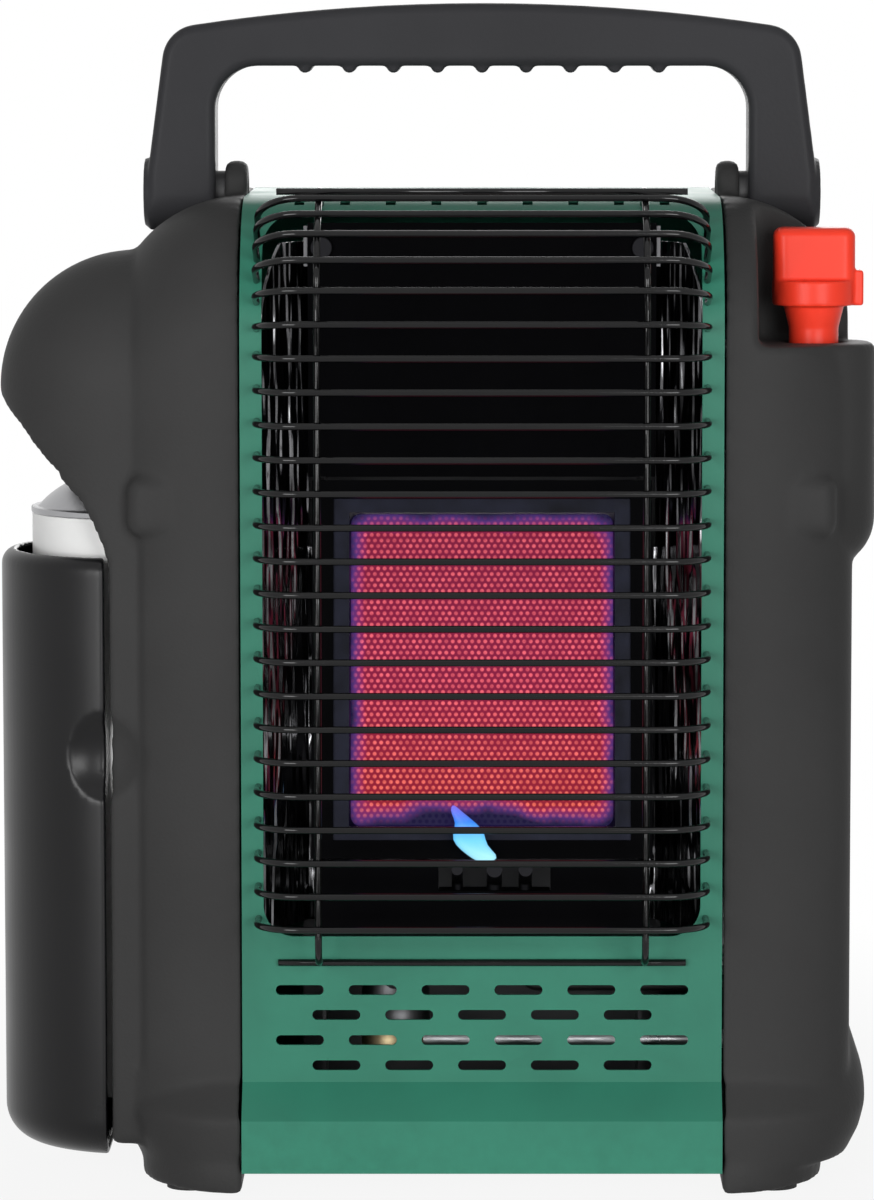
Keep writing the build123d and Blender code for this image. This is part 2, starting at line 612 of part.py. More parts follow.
# ---------------------------------------------------------------- steel casing
with BuildPart() as front_panel:
    with BuildSketch(Plane.YZ.offset(-PANEL_HALF)):
        with BuildLine():
            Polyline((-SKIRT_REACH, FOOT_HEIGHT), (-SKIRT_REACH, SKIRT_LOW), (0, SKIRT_HIGH), (0, BEND_Z))
            RadiusArc((0, BEND_Z), (BEND_Y, CASE_TOP), FRONT_BEND)
            Line((BEND_Y, CASE_TOP), (DECK_SEAM, CASE_TOP))
            offset(amount=SHEET, side=Side.RIGHT)
        make_face()
    extrude(amount=2 * PANEL_HALF)
    with BuildSketch(Plane.XZ.offset(SKIRT_REACH)):
        with Locations((0, (WINDOW_FOOT + WINDOW_TOP) / 2)):
            RectangleRounded(2 * WINDOW_HALF, WINDOW_TOP - WINDOW_FOOT, WINDOW_CORNER)
    extrude(amount=-SKIRT_REACH - BEND_Y, mode=Mode.SUBTRACT)
    with BuildSketch(Plane.XZ.offset(SKIRT_REACH)):
        for number, height in enumerate(LOUVRE_ROWS):
            with Locations(row(6 - number % 2, LOUVRE_PITCH, height)):
                SlotOverall(LOUVRE_LENGTH, LOUVRE_HEIGHT)
    extrude(amount=-2 * SKIRT_REACH, mode=Mode.SUBTRACT)
    with BuildSketch(Plane.XY.offset(CASE_TOP)):
        with Locations(row(HEADER_SLOTS, HEADER_PITCH, HEADER_SLOT_Y)):
            Rectangle(*HEADER_SLOT)
    extrude(amount=-FRONT_BEND / 4, mode=Mode.SUBTRACT)

with BuildPart() as back_cover:
    with BuildSketch(Plane.YZ.offset(-PANEL_HALF)):
        with BuildLine():
            Line((DECK_SEAM, CASE_TOP), (CASE_DEPTH - BACK_BEND, CASE_TOP))
            RadiusArc((CASE_DEPTH - BACK_BEND, CASE_TOP), (CASE_DEPTH, CASE_TOP - BACK_BEND), BACK_BEND)
            Line((CASE_DEPTH, CASE_TOP - BACK_BEND), (CASE_DEPTH, FOOT_HEIGHT))
            offset(amount=SHEET, side=Side.RIGHT)
        make_face()
    extrude(amount=2 * PANEL_HALF)
    with BuildSketch(Plane.XY.offset(CASE_TOP)):
        with Locations(row(DECK_VENTS, DECK_VENT_PITCH, (DECK_SEAM + CASE_DEPTH - BACK_BEND) / 2)):
            Rectangle(*DECK_VENT)
    extrude(amount=-2 * SHEET, mode=Mode.SUBTRACT)
    with BuildSketch(Plane.XZ.offset(-CASE_DEPTH)):
        for middle in BACK_VENT_HEIGHTS:
            with Locations((0, middle)):
                with GridLocations(BACK_VENT_LENGTH + 8, BACK_VENT_PITCH, 3, BACK_VENT_ROWS):
                    SlotOverall(BACK_VENT_LENGTH, LOUVRE_HEIGHT)
        for height in PANEL_SCREW_HEIGHTS:
            with Locations((-PANEL_SCREW_X, height), (PANEL_SCREW_X, height)):
                Circle(LEAD / 2)
    extrude(amount=2 * SHEET, mode=Mode.SUBTRACT)

with BuildPart() as base_tray:
    with BuildSketch(Plane.XY.offset(FOOT_HEIGHT)):
        with Locations((0, SHEET - SKIRT_REACH)):
            Rectangle(2 * PANEL_HALF, CASE_DEPTH + SKIRT_REACH - 2 * SHEET, align=(Align.CENTER, Align.MIN))
        with Locations((0, CASE_DEPTH / 2)):
            with GridLocations(LOUVRE_PITCH, LOUVRE_PITCH, 4, 5):
                SlotOverall(LOUVRE_LENGTH, LOUVRE_HEIGHT, mode=Mode.SUBTRACT)
    extrude(amount=SHEET)

with BuildPart() as back_screws:
    with BuildSketch(Plane.XZ.offset(-CASE_DEPTH)):
        for height in PANEL_SCREW_HEIGHTS:
            with Locations((-PANEL_SCREW_X, height), (PANEL_SCREW_X, height)):
                Circle(PANEL_SCREW / 2)
    extrude(amount=-SCREW_HEAD)
    with BuildSketch(Plane.XZ.offset(-CASE_DEPTH)):
        for height in PANEL_SCREW_HEIGHTS:
            with Locations((-PANEL_SCREW_X, height), (PANEL_SCREW_X, height)):
                Circle(LEAD / 2)
    extrude(amount=4)

with BuildPart() as foot_pads:
    with Locations([(x, y, 0) for x, y in pad_places()]):
        Cylinder(PAD_RADIUS, PAD_THICK, align=(Align.CENTER, Align.CENTER, Align.MIN))

# ---------------------------------------------------------------- wire guard
cross_wires = [((0, GUARD_FIRST + GUARD_PITCH * i), (-GUARD_DEPTH, GUARD_FIRST + GUARD_PITCH * i))
               for i in range(GUARD_STRAIGHT)]
for hook, front in zip(BEND_HOOKS, BEND_WIRES):
    cross_wires.append((on_bend(hook), front))

with BuildPart() as wire_guard:
    for end, front in cross_wires:
        corners = [(-GUARD_HALF, *end), (-GUARD_HALF, *front), (GUARD_HALF, *front), (GUARD_HALF, *end)]
        add(routed(corners, GUARD_BEND, WIRE).part)
    for side in (-1, 1):
        upright = [(side * UPRIGHT_X, *point) for point in UPRIGHT_ROUTE]
        add(routed(upright, UPRIGHT_BENDS, WIRE).part)
    for y, z in GUARD_BARS:
        with Locations((0, y, z)):
            Cylinder(WIRE / 2, 2 * BAR_HALF, rotation=(0, 90, 0))
    add(front_panel.part, mode=Mode.SUBTRACT)

# ---------------------------------------------------------------- burner and what holds it
with BuildPart() as burner_surround:
    with BuildSketch(BURNER):
        with Locations((0, OPENING_HEIGHT / 2)):
            Rectangle(2 * SURROUND_HALF, OPENING_HEIGHT + 2 * SURROUND_LIP)
            Rectangle(2 * OPENING_HALF, OPENING_HEIGHT, mode=Mode.SUBTRACT)
    extrude(amount=SHEET)

with BuildPart() as burner_housing:
    with BuildSketch(BURNER):
        with Locations((0, OPENING_HEIGHT / 2)):
            Rectangle(2 * HOUSING_HALF, HOUSING_HEIGHT)
    extrude(amount=-BURNER_DEPTH)
    with BuildSketch(BURNER.offset(-SHEET)):
        with Locations((0, OPENING_HEIGHT / 2)):
            Rectangle(2 * (HOUSING_HALF - SHEET), HOUSING_HEIGHT - 2 * SHEET)
    extrude(amount=2 * SHEET - BURNER_DEPTH, mode=Mode.SUBTRACT)
    with BuildSketch(BURNER):
        with Locations((0, OPENING_HEIGHT / 2)):
            Rectangle(2 * (TILE_HALF + TILE_GAP), TILE_HEIGHT + 2 * TILE_GAP)
    extrude(amount=-2 * SHEET, mode=Mode.SUBTRACT)
    with BuildSketch(MIXER.offset(-2 * SHEET)):
        Circle(MIXER_TUBE / 2 - SHEET)
    extrude(amount=4 * SHEET, mode=Mode.SUBTRACT)

with BuildPart() as ceramic_tile:
    with BuildSketch(BURNER.offset(-TILE_SET)):
        with Locations((0, OPENING_HEIGHT / 2)):
            RectangleRounded(2 * TILE_HALF, TILE_HEIGHT, 3)
    extrude(amount=-TILE_THICK)

with BuildPart() as tile_gasket:
    with BuildSketch(BURNER.offset(-TILE_SET - TILE_THICK)):
        with Locations((0, OPENING_HEIGHT / 2)):
            Rectangle(2 * (HOUSING_HALF - SHEET), HOUSING_HEIGHT - 2 * SHEET)
            Rectangle(2 * (TILE_HALF - 4), TILE_HEIGHT - 8, mode=Mode.SUBTRACT)
    extrude(amount=-GASKET_THICK)

with BuildPart() as mixer_tube:
    with BuildSketch(MIXER):
        Circle(MIXER_TUBE / 2)
        Circle(MIXER_TUBE / 2 - SHEET, mode=Mode.SUBTRACT)
    extrude(amount=MIXER_LENGTH)
    with Locations(MIXER.location * Location((0, 0, MIXER_LENGTH - 2 * AIR_HOLE), (90, 0, 0))):
        Cylinder(AIR_HOLE / 2, 2 * MIXER_TUBE, mode=Mode.SUBTRACT)
    with Locations(MIXER.location * Location((0, 0, MIXER_LENGTH - 2 * AIR_HOLE), (0, 90, 0))):
        Cylinder(AIR_HOLE / 2, 2 * MIXER_TUBE, mode=Mode.SUBTRACT)

with BuildPart() as gas_jet:
    with BuildSketch(MIXER.offset(MIXER_LENGTH)):
        Circle(MIXER_TUBE / 2)
    extrude(amount=JET_HEIGHT)
    with BuildSketch(MIXER.offset(MIXER_LENGTH)):
        Circle(PIPE / 2)
    extrude(amount=-AIR_HOLE)
    with BuildSketch(MIXER.offset(MIXER_LENGTH - AIR_HOLE)):
        Circle(0.6)
    extrude(amount=AIR_HOLE, mode=Mode.SUBTRACT)
    with Locations(MIXER.location * Location((MIXER_TUBE / 2 - 2, 0, MIXER_LENGTH))):
        Box(10, MIXER_TUBE, 2 * JET_HEIGHT, align=(Align.MIN, Align.CENTER, Align.MIN),
            mode=Mode.SUBTRACT)

with BuildPart() as burner_brackets:
    with BuildSketch(Plane.YZ.offset(LEG_HALF - SHEET)):
        with BuildLine():
            Polyline(*LEG_OUTLINE, close=True)
        make_face()
    extrude(amount=SHEET)
    with Locations((LEG_HALF - 6, DEFLECTOR_FOLD[0] + THIN_SHEET, DEFLECTOR_FOLD[1] + 1)):
        Box(11, SHEET, DEFLECTOR_TOP - DEFLECTOR_FOLD[1] - 2, align=(Align.MIN, Align.MIN, Align.MIN))
    with Locations((DEFLECTOR_SCREW_X, PILOT_Y, DEFLECTOR_SCREW_Z)):
        Cylinder(LEAD / 2, PILOT_Y, rotation=(90, 0, 0), mode=Mode.SUBTRACT)
    mirror(about=Plane.YZ)

with BuildPart() as upper_deflector:
    with BuildSketch(Plane.YZ.offset(-DEFLECTOR_HALF)):
        with BuildLine():
            Polyline(DEFLECTOR_FOOT, DEFLECTOR_FOLD, (DEFLECTOR_FOLD[0], DEFLECTOR_TOP))
            offset(amount=THIN_SHEET, side=Side.RIGHT)
        make_face()
    extrude(amount=2 * DEFLECTOR_HALF)
    with Locations([(side * DEFLECTOR_SCREW_X, PILOT_Y, DEFLECTOR_SCREW_Z) for side in (-1, 1)]):
        Cylinder(LEAD / 2, PILOT_Y, rotation=(90, 0, 0), mode=Mode.SUBTRACT)

with BuildPart() as deflector_screws:
    with Locations([(side * DEFLECTOR_SCREW_X, DEFLECTOR_FOLD[0], DEFLECTOR_SCREW_Z)
                    for side in (-1, 1)]):
        Cylinder(PANEL_SCREW / 2, 2, rotation=(90, 0, 0),
                 align=(Align.CENTER, Align.CENTER, Align.MIN))
        Cylinder(LEAD / 2, 5, rotation=(-90, 0, 0), align=(Align.CENTER, Align.CENTER, Align.MIN))

with BuildPart() as lower_apron:
    with BuildSketch(Plane.YZ.offset(-APRON_HALF)):
        with BuildLine():
            Polyline((APRON_FOLD[0], APRON_FOOT), APRON_FOLD, APRON_TOP)
            offset(amount=THIN_SHEET, side=Side.RIGHT)
        make_face()
    extrude(amount=2 * APRON_HALF)
    with Locations(((NOTCH[0] + NOTCH[1]) / 2, 0, NOTCH_FOOT)):
        Box(NOTCH[1] - NOTCH[0], 2 * PILOT_Y, WINDOW_FOOT,
            align=(Align.CENTER, Align.CENTER, Align.MIN), mode=Mode.SUBTRACT)

with BuildPart() as pilot_bracket:
    with Locations(((NOTCH[0] + NOTCH[1]) / 2, 0, PILOT_PLATE)):
        Box(NOTCH[1] - NOTCH[0], PILOT_Y + 5, SHEET, align=(Align.CENTER, Align.MIN, Align.MIN))
    split(bisect_by=APRON_FACE.offset(-THIN_SHEET), keep=Keep.BOTTOM)
    with Locations([(x, PILOT_Y, PILOT_PLATE) for x in (PILOT_X, PROBE_X, SPARK_X)]):
        Cylinder(LEAD / 2, 4 * SHEET, mode=Mode.SUBTRACT)


def pilot_tip(x, diameter):
    """One of the tips that stand on the pilot's bracket and lean forward over the apron."""
    return routed([(x, PILOT_Y, PILOT_PLATE + SHEET), (x, PILOT_Y, PILOT_RISE),
                   (x, PILOT_REACH, PILOT_HEIGHT)], PILOT_BEND, diameter)


pilot_burner = pilot_tip(PILOT_X, PILOT_TUBE)
thermocouple = pilot_tip(PROBE_X, PROBE)
spark_electrode = pilot_tip(SPARK_X, SPARK_ROD)

with BuildPart() as firebox:
    with BuildSketch(Plane.YZ.offset(-PANEL_HALF)):
        with BuildLine():
            Line((SHEET, WINDOW_FOOT - 10), (SHEET, BEND_Z))
            RadiusArc((SHEET, BEND_Z), (BEND_Y, CASE_TOP - SHEET), FRONT_BEND - SHEET)
            Polyline((BEND_Y, CASE_TOP - SHEET), (BEND_Y, WINDOW_FOOT - 10), (SHEET, WINDOW_FOOT - 10))
        make_face()
    extrude(amount=2 * PANEL_HALF)

with BuildPart() as reflector_right:
    with BuildSketch(Plane.XY.offset(WING_FOOT)):
        with BuildLine():
            Polyline(*WING_PLAN, close=True)
        make_face()
    extrude(amount=WING_TOP - WING_FOOT)
    add(firebox.part, mode=Mode.INTERSECT)
    with Locations((LEG_HALF, WING_REAR, WING_FOOT)):
        Box(WING_PLAN[1][0] - LEG_HALF, THIN_SHEET, WING_FLANGE_TOP - WING_FOOT,
            align=(Align.MIN, Align.MIN, Align.MIN))

with BuildPart() as reflector_left:
    add(reflector_right.part)
    mirror(about=Plane.YZ, mode=Mode.REPLACE)

with BuildPart() as heat_shield:
    with Locations((0, SHIELD_Y, FOOT_HEIGHT + SHEET)):
        Box(2 * SHIELD_HALF, THIN_SHEET, SHIELD_TOP - FOOT_HEIGHT - SHEET,
            align=(Align.CENTER, Align.MIN, Align.MIN))
        Box(2 * SHIELD_HALF, SHIELD_FLANGE, THIN_SHEET, align=(Align.CENTER, Align.MIN, Align.MIN))

with BuildPart() as tip_over_switch:
    with Locations((0, SWITCH_Y, FOOT_HEIGHT + SHEET)):
        Box(*SWITCH_BOX, align=(Align.CENTER, Align.CENTER, Align.MIN))
    fillet(tip_over_switch.edges().filter_by(Axis.Z), 2)

# ---------------------------------------------------------------- cartridge and its compartment
with BuildPart() as regulator_body:
    with Locations((CARTRIDGE_X, CARTRIDGE_Y, REGULATOR_FOOT)):
        Cylinder(REGULATOR, REGULATOR_HEIGHT, align=(Align.CENTER, Align.CENTER, Align.MIN))
    with Locations((OUTLET_X, OUTLET_Y, OUTLET_Z)):
        Box(20, PIPE + 2, PIPE + 2, align=(Align.MAX, Align.CENTER, Align.CENTER))
    with Locations((CARTRIDGE_X, CARTRIDGE_Y, REGULATOR_FOOT)):
        Cylinder(INLET / 2, REGULATOR_FOOT - INLET_FOOT, align=(Align.CENTER, Align.CENTER, Align.MAX))
        Cylinder(INLET_BORE / 2, 2 * (REGULATOR_FOOT - INLET_FOOT), mode=Mode.SUBTRACT)
    with Locations((CARTRIDGE_X, CARTRIDGE_Y, INLET_SEAT)):
        Cylinder(INLET_BORE / 2, REGULATOR_HEIGHT / 2, align=(Align.CENTER, Align.CENTER, Align.MAX),
                 mode=Mode.SUBTRACT)

with BuildPart() as regulator_cap:
    with Locations((CARTRIDGE_X, CARTRIDGE_Y, REGULATOR_FOOT + REGULATOR_HEIGHT)):
        Cylinder(REGULATOR - 4, CAP_HEIGHT, align=(Align.CENTER, Align.CENTER, Align.MIN))
    fillet(regulator_cap.edges().sort_by(Axis.Z)[-1], 4)

with BuildPart() as inlet_seal:
    with BuildSketch(Plane.XY.offset(VALVE_TIP)):
        with Locations((CARTRIDGE_X, CARTRIDGE_Y)):
            Circle(INLET_BORE / 2)
            Circle(2.5, mode=Mode.SUBTRACT)
    extrude(amount=INLET_SEAT - VALVE_TIP)

with BuildPart() as regulator_bracket:
    with Locations((-PANEL_HALF - BULKHEAD, CARTRIDGE_Y, REGULATOR_FOOT + 1)):
        Box(BRACKET_SHEET, 40, 20, align=(Align.MAX, Align.CENTER, Align.CENTER))
        Box(20, 20, 8, align=(Align.MAX, Align.CENTER, Align.MIN))
    with Locations((CARTRIDGE_X, CARTRIDGE_Y, REGULATOR_FOOT)):
        Cylinder(REGULATOR, 2 * REGULATOR_HEIGHT, mode=Mode.SUBTRACT)

with BuildPart() as cartridge_body:
    with Locations((CARTRIDGE_X, CARTRIDGE_Y, CARTRIDGE_FOOT)):
        Cylinder(CARTRIDGE / 2, CARTRIDGE_SEAM - CARTRIDGE_FOOT,
                 align=(Align.CENTER, Align.CENTER, Align.MIN))
    fillet(cartridge_body.edges().sort_by(Axis.Z)[0], 4)
    offset(amount=-1, openings=cartridge_body.faces().sort_by(Axis.Z)[-1])

with BuildPart() as cartridge_dome:
    with BuildSketch(Plane.XZ.offset(-CARTRIDGE_Y)):
        with BuildLine():
            Line((CARTRIDGE_X - 12, COLLAR_TOP), (CARTRIDGE_X - 12, COLLAR_FOOT))
            RadiusArc((CARTRIDGE_X - 12, COLLAR_FOOT), (CARTRIDGE_X - RING + 2.4, CARTRIDGE_SEAM + 2), -31)
            Line((CARTRIDGE_X - RING + 2.4, CARTRIDGE_SEAM + 2), (CARTRIDGE_X - RING, CARTRIDGE_SEAM + 2))
            Line((CARTRIDGE_X - RING, CARTRIDGE_SEAM + 2), (CARTRIDGE_X - RING, CARTRIDGE_SEAM))
            Line((CARTRIDGE_X - RING, CARTRIDGE_SEAM), (CARTRIDGE_X - RING + 3, CARTRIDGE_SEAM))
            RadiusArc((CARTRIDGE_X - RING + 3, CARTRIDGE_SEAM), (CARTRIDGE_X - 11, COLLAR_FOOT - 1), 31)
            Line((CARTRIDGE_X - 11, COLLAR_FOOT - 1), (CARTRIDGE_X - CARTRIDGE_VALVE / 2, COLLAR_FOOT - 1))
            Line((CARTRIDGE_X - CARTRIDGE_VALVE / 2, COLLAR_FOOT - 1),
                 (CARTRIDGE_X - CARTRIDGE_VALVE / 2, COLLAR_TOP))
            Line((CARTRIDGE_X - CARTRIDGE_VALVE / 2, COLLAR_TOP), (CARTRIDGE_X - 12, COLLAR_TOP))
        make_face()
    revolve(axis=CARTRIDGE_AXIS)

with BuildPart() as cartridge_valve:
    with Locations((CARTRIDGE_X, CARTRIDGE_Y, COLLAR_FOOT - 1)):
        Cylinder(CARTRIDGE_VALVE / 2, VALVE_TIP - COLLAR_FOOT + 1,
                 align=(Align.CENTER, Align.CENTER, Align.MIN))
        Cylinder(1.5, VALVE_TIP, align=(Align.CENTER, Align.CENTER, Align.MIN), mode=Mode.SUBTRACT)

with BuildPart() as cover_space:
    with Locations((CARTRIDGE_X, CARTRIDGE_Y, COVER_FOOT + COVER_WALL)):
        Cylinder(HOOD - COVER_WALL, COVER_TOP - COVER_FOOT - 2 * COVER_WALL,
                 align=(Align.CENTER, Align.CENTER, Align.MIN))
    ends = cover_space.edges().filter_by(GeomType.CIRCLE).sort_by(Axis.Z)
    fillet(ends[-1], COVER_RIM - COVER_WALL)
    fillet(ends[0], COVER_CORNER - COVER_WALL)
    with Locations((CARTRIDGE_X, CARTRIDGE_Y, COVER_FOOT + COVER_CORNER)):
        Cylinder(HOOD - COVER_RIM, COVER_TOP, align=(Align.CENTER, Align.CENTER, Align.MIN))
    with Locations(SCOOP_CENTRE):
        Sphere(SCOOP_BALL + COVER_WALL, mode=Mode.SUBTRACT)

with BuildPart() as cartridge_cover:
    with Locations((CARTRIDGE_X, CARTRIDGE_Y, COVER_FOOT)):
        Cylinder(HOOD, COVER_TOP - COVER_FOOT, align=(Align.CENTER, Align.CENTER, Align.MIN))
    fillet(cartridge_cover.edges().sort_by(Axis.Z)[0], COVER_CORNER)
    rim = cartridge_cover.edges().filter_by(GeomType.CIRCLE).sort_by(Axis.Z)[-1]
    fillet(rim, COVER_RIM)
    with Locations(SCOOP_CENTRE):
        Sphere(SCOOP_BALL, mode=Mode.SUBTRACT)
    add(cover_space.part, mode=Mode.SUBTRACT)
    split(bisect_by=Plane.YZ.offset(-COVER_EDGE - COVER_GAP), keep=Keep.BOTTOM)
    with Locations([(HINGE_X, HINGE_Y, z) for z in HINGE_HEIGHTS]):
        Cylinder(KNUCKLE / 2, KNUCKLE_HEIGHT - KNUCKLE_GAP)
        Box(KNUCKLE / 2, HINGE_WEB, KNUCKLE_HEIGHT - KNUCKLE_GAP,
            align=(Align.MAX, Align.MAX, Align.CENTER))
        Cylinder(HINGE_PIN / 2 + PIN_CLEARANCE / 2, KNUCKLE_HEIGHT, mode=Mode.SUBTRACT)

with BuildPart() as cover_hinge_pins:
    with Locations([(HINGE_X, HINGE_Y, z) for z in HINGE_HEIGHTS]):
        Cylinder(HINGE_PIN / 2, 3 * KNUCKLE_HEIGHT)

# ---------------------------------------------------------------- carry handle
with BuildPart() as carry_handle:
    with BuildSketch(Plane.XZ.offset(-HANDLE_Y - HANDLE_THICK / 2)) as arch:
        with BuildLine():
            Polyline((HANDLE_CORNER, HANDLE_SHOULDER), (HANDLE_OUTER, HANDLE_PIVOT + PIN),
                     (HANDLE_OUTER, HANDLE_FOOT), (HANDLE_INNER, HANDLE_FOOT), (HANDLE_INNER, GRIP_UNDER),
                     (-HANDLE_INNER, GRIP_UNDER), (-HANDLE_INNER, HANDLE_FOOT),
                     (-HANDLE_OUTER, HANDLE_FOOT), (-HANDLE_OUTER, HANDLE_PIVOT + PIN),
                     (-HANDLE_CORNER, HANDLE_SHOULDER))
            ThreePointArc((-HANDLE_CORNER, HANDLE_SHOULDER), (0, HANDLE_TOP),
                          (HANDLE_CORNER, HANDLE_SHOULDER))
        make_face()
        for side in (-1, 1):
            for corner, rounding in (((side * HANDLE_CORNER, HANDLE_SHOULDER), OUTER_CORNER),
                                     ((side * HANDLE_INNER, GRIP_UNDER), INNER_CORNER)):
                fillet(arch.vertices().sort_by_distance(corner)[0], rounding)
    extrude(amount=HANDLE_THICK)
    front_edges = carry_handle.faces().sort_by(Axis.Y)[0].edges()
    back_edges = carry_handle.faces().sort_by(Axis.Y)[-1].edges()
    long_edges = (front_edges + back_edges).filter_by(lambda edge: edge.center().Z > HANDLE_FOOT + 1)
    fillet(long_edges, HANDLE_EDGE)
    with BuildSketch(Plane.YZ.offset(-HANDLE_OUTER)):
        with Locations((HANDLE_Y, HANDLE_PIVOT)):
            Circle(HANDLE_THICK / 2)
            Rectangle(HANDLE_THICK, HANDLE_TOP, align=(Align.CENTER, Align.MIN))
    extrude(amount=2 * HANDLE_OUTER, mode=Mode.INTERSECT)
    with BuildSketch(Plane.YZ.offset(-HANDLE_OUTER - LEG_CHEEK)):
        with Locations((HANDLE_Y, HANDLE_PIVOT)):
            Circle(HANDLE_THICK / 2 - LEG_CHEEK)
    extrude(amount=LEG_CHEEK + PIN)
    mirror(about=Plane.YZ)
    with BuildSketch(Plane.XZ.offset(HANDLE_THICK / 2 - NUB_SET - HANDLE_Y)):
        with Locations(row(NUBS, NUB_PITCH, GRIP_UNDER - NUB_PROUD)):
            SlotOverall(GRIP_END, NUB, rotation=90, align=(Align.MIN, Align.CENTER))
    extrude(amount=2 * NUB_SET - HANDLE_THICK)
    with Locations([(side * HANDLE_INNER, HANDLE_Y, HANDLE_PIVOT) for side in (-1, 1)]):
        Cylinder(PIN / 2 + PIN_CLEARANCE, 2 * PIN_DEPTH, rotation=(0, 90, 0), mode=Mode.SUBTRACT)

with BuildPart() as handle_pivot_pins:
    with BuildSketch(Plane.YZ.offset(PANEL_HALF + 1)):
        with Locations((HANDLE_Y, HANDLE_PIVOT)):
            Circle(PIN / 2)
    extrude(amount=HANDLE_INNER + PIN_DEPTH - 0.5 - PANEL_HALF - 1)
    mirror(about=Plane.YZ)

with BuildPart() as handle_washers:
    with BuildSketch(Plane.YZ.offset(EAR_OUTER)):
        with Locations((HANDLE_Y, HANDLE_PIVOT)):
            Circle(WASHER / 2)
            Circle(PIN / 2 + PIN_CLEARANCE / 2, mode=Mode.SUBTRACT)
    extrude(amount=HANDLE_INNER - EAR_OUTER)
    mirror(about=Plane.YZ)

# ---------------------------------------------------------------- control valve and knob
with BuildPart() as control_valve:
    with Locations((KNOB_X, KNOB_Y, VALVE_TOP)):
        Box(VALVE_BLOCK, VALVE_BLOCK, VALVE_HEIGHT, align=(Align.CENTER, Align.CENTER, Align.MAX))
        Cylinder(BUSHING / 2, BUSHING_HEIGHT, align=(Align.CENTER, Align.CENTER, Align.MIN))
    with Locations((KNOB_X, KNOB_Y, STEM_FOOT - KNOB_PUSH - 1)):
        Cylinder(STEM / 2 + STEM_CLEARANCE, 2 * VALVE_HEIGHT,
                 align=(Align.CENTER, Align.CENTER, Align.MIN), mode=Mode.SUBTRACT)

with BuildPart() as valve_bracket:
    with BuildSketch(Plane.XY.offset(VALVE_TOP)):
        with Locations((BRACKET_X, KNOB_Y - VALVE_BLOCK / 2)):
            Rectangle(KNOB_X + BRACKET_REACH - BRACKET_X, BRACKET_LENGTH, align=(Align.MIN, Align.MIN))
        with Locations((KNOB_X, KNOB_Y)):
            Circle(BUSHING / 2, mode=Mode.SUBTRACT)
        with Locations((KNOB_X, IGNITER_Y)):
            Circle(IGNITER / 2, mode=Mode.SUBTRACT)
    extrude(amount=BRACKET_SHEET)
    with Locations((BRACKET_X, KNOB_Y, VALVE_TOP)):
        Box(BRACKET_SHEET, VALVE_BLOCK, SHELF_UNDER - VALVE_TOP, align=(Align.MIN, Align.CENTER, Align.MIN))
    with Locations((BRACKET_X, KNOB_Y, SHELF_UNDER)):
        Box(RECESS_EDGE + 6 - BRACKET_X, VALVE_BLOCK, BRACKET_SHEET,
            align=(Align.MIN, Align.CENTER, Align.MAX))

with BuildPart() as piezo_igniter:
    with Locations((KNOB_X, IGNITER_Y, IGNITER_FOOT)):
        Cylinder(IGNITER / 2, IGNITER_TOP - IGNITER_FOOT, align=(Align.CENTER, Align.CENTER, Align.MIN))

with BuildPart() as knob_spring:
    with BuildLine():
        coil = Helix(pitch=SPRING_PITCH, height=SPRING_ROOM - SPRING_WIRE, radius=SPRING_RADIUS,
                     center=(KNOB_X, KNOB_Y, VALVE_TOP + BUSHING_HEIGHT + SPRING_WIRE / 2))
    with BuildSketch(Plane(origin=coil @ 0, z_dir=coil % 0)):
        Circle(SPRING_WIRE / 2)
    sweep()

with BuildPart() as stem_collar:
    with BuildSketch(Plane.XY.offset(NECK_FOOT - COLLAR_THICK)):
        with Locations((KNOB_X, KNOB_Y)):
            Circle(COLLAR / 2)
            Circle(STEM / 2 + STEM_CLEARANCE, mode=Mode.SUBTRACT)
    extrude(amount=COLLAR_THICK)

with BuildPart() as valve_stem:
    with Locations((KNOB_X, KNOB_Y, STEM_FOOT)):
        Cylinder(STEM / 2, STEM_TOP - STEM_FOOT, align=(Align.CENTER, Align.CENTER, Align.MIN))

with BuildPart() as knob_bar:
    with BuildSketch(Plane.XY.offset(FLANGE_TOP - KNOB_ROUND)):
        with Locations((KNOB_X, KNOB_Y)):
            RectangleRounded(*KNOB_GRIP, KNOB_ROUND)
    extrude(amount=GRIP_HEIGHT + KNOB_ROUND)
    fillet(knob_bar.faces().sort_by(Axis.Z)[-1].edges(), KNOB_ROUND - 1)

with BuildPart() as control_knob:
    cone_foot = SHELF_TOP + KNOB_PUSH + 1
    with Locations((KNOB_X, KNOB_Y, NECK_FOOT)):
        Cylinder(NECK / 2, cone_foot - NECK_FOOT, align=(Align.CENTER, Align.CENTER, Align.MIN))
    with Locations((KNOB_X, KNOB_Y, cone_foot)):
        Cone(NECK / 2, NECK_TOP / 2, KNOB_BASE - cone_foot, align=(Align.CENTER, Align.CENTER, Align.MIN))
    with Locations((KNOB_X, KNOB_Y, KNOB_BASE)):
        Cylinder(KNOB_FLANGE / 2, FLANGE_THICK, align=(Align.CENTER, Align.CENTER, Align.MIN))
        Box(*POINTER, align=(Align.MIN, Align.CENTER, Align.MIN))
    add(knob_bar.part)
    with Locations((KNOB_X, KNOB_Y, NECK_FOOT)):
        Cylinder(STEM / 2, STEM_TOP - NECK_FOOT, align=(Align.CENTER, Align.CENTER, Align.MIN),
                 mode=Mode.SUBTRACT)

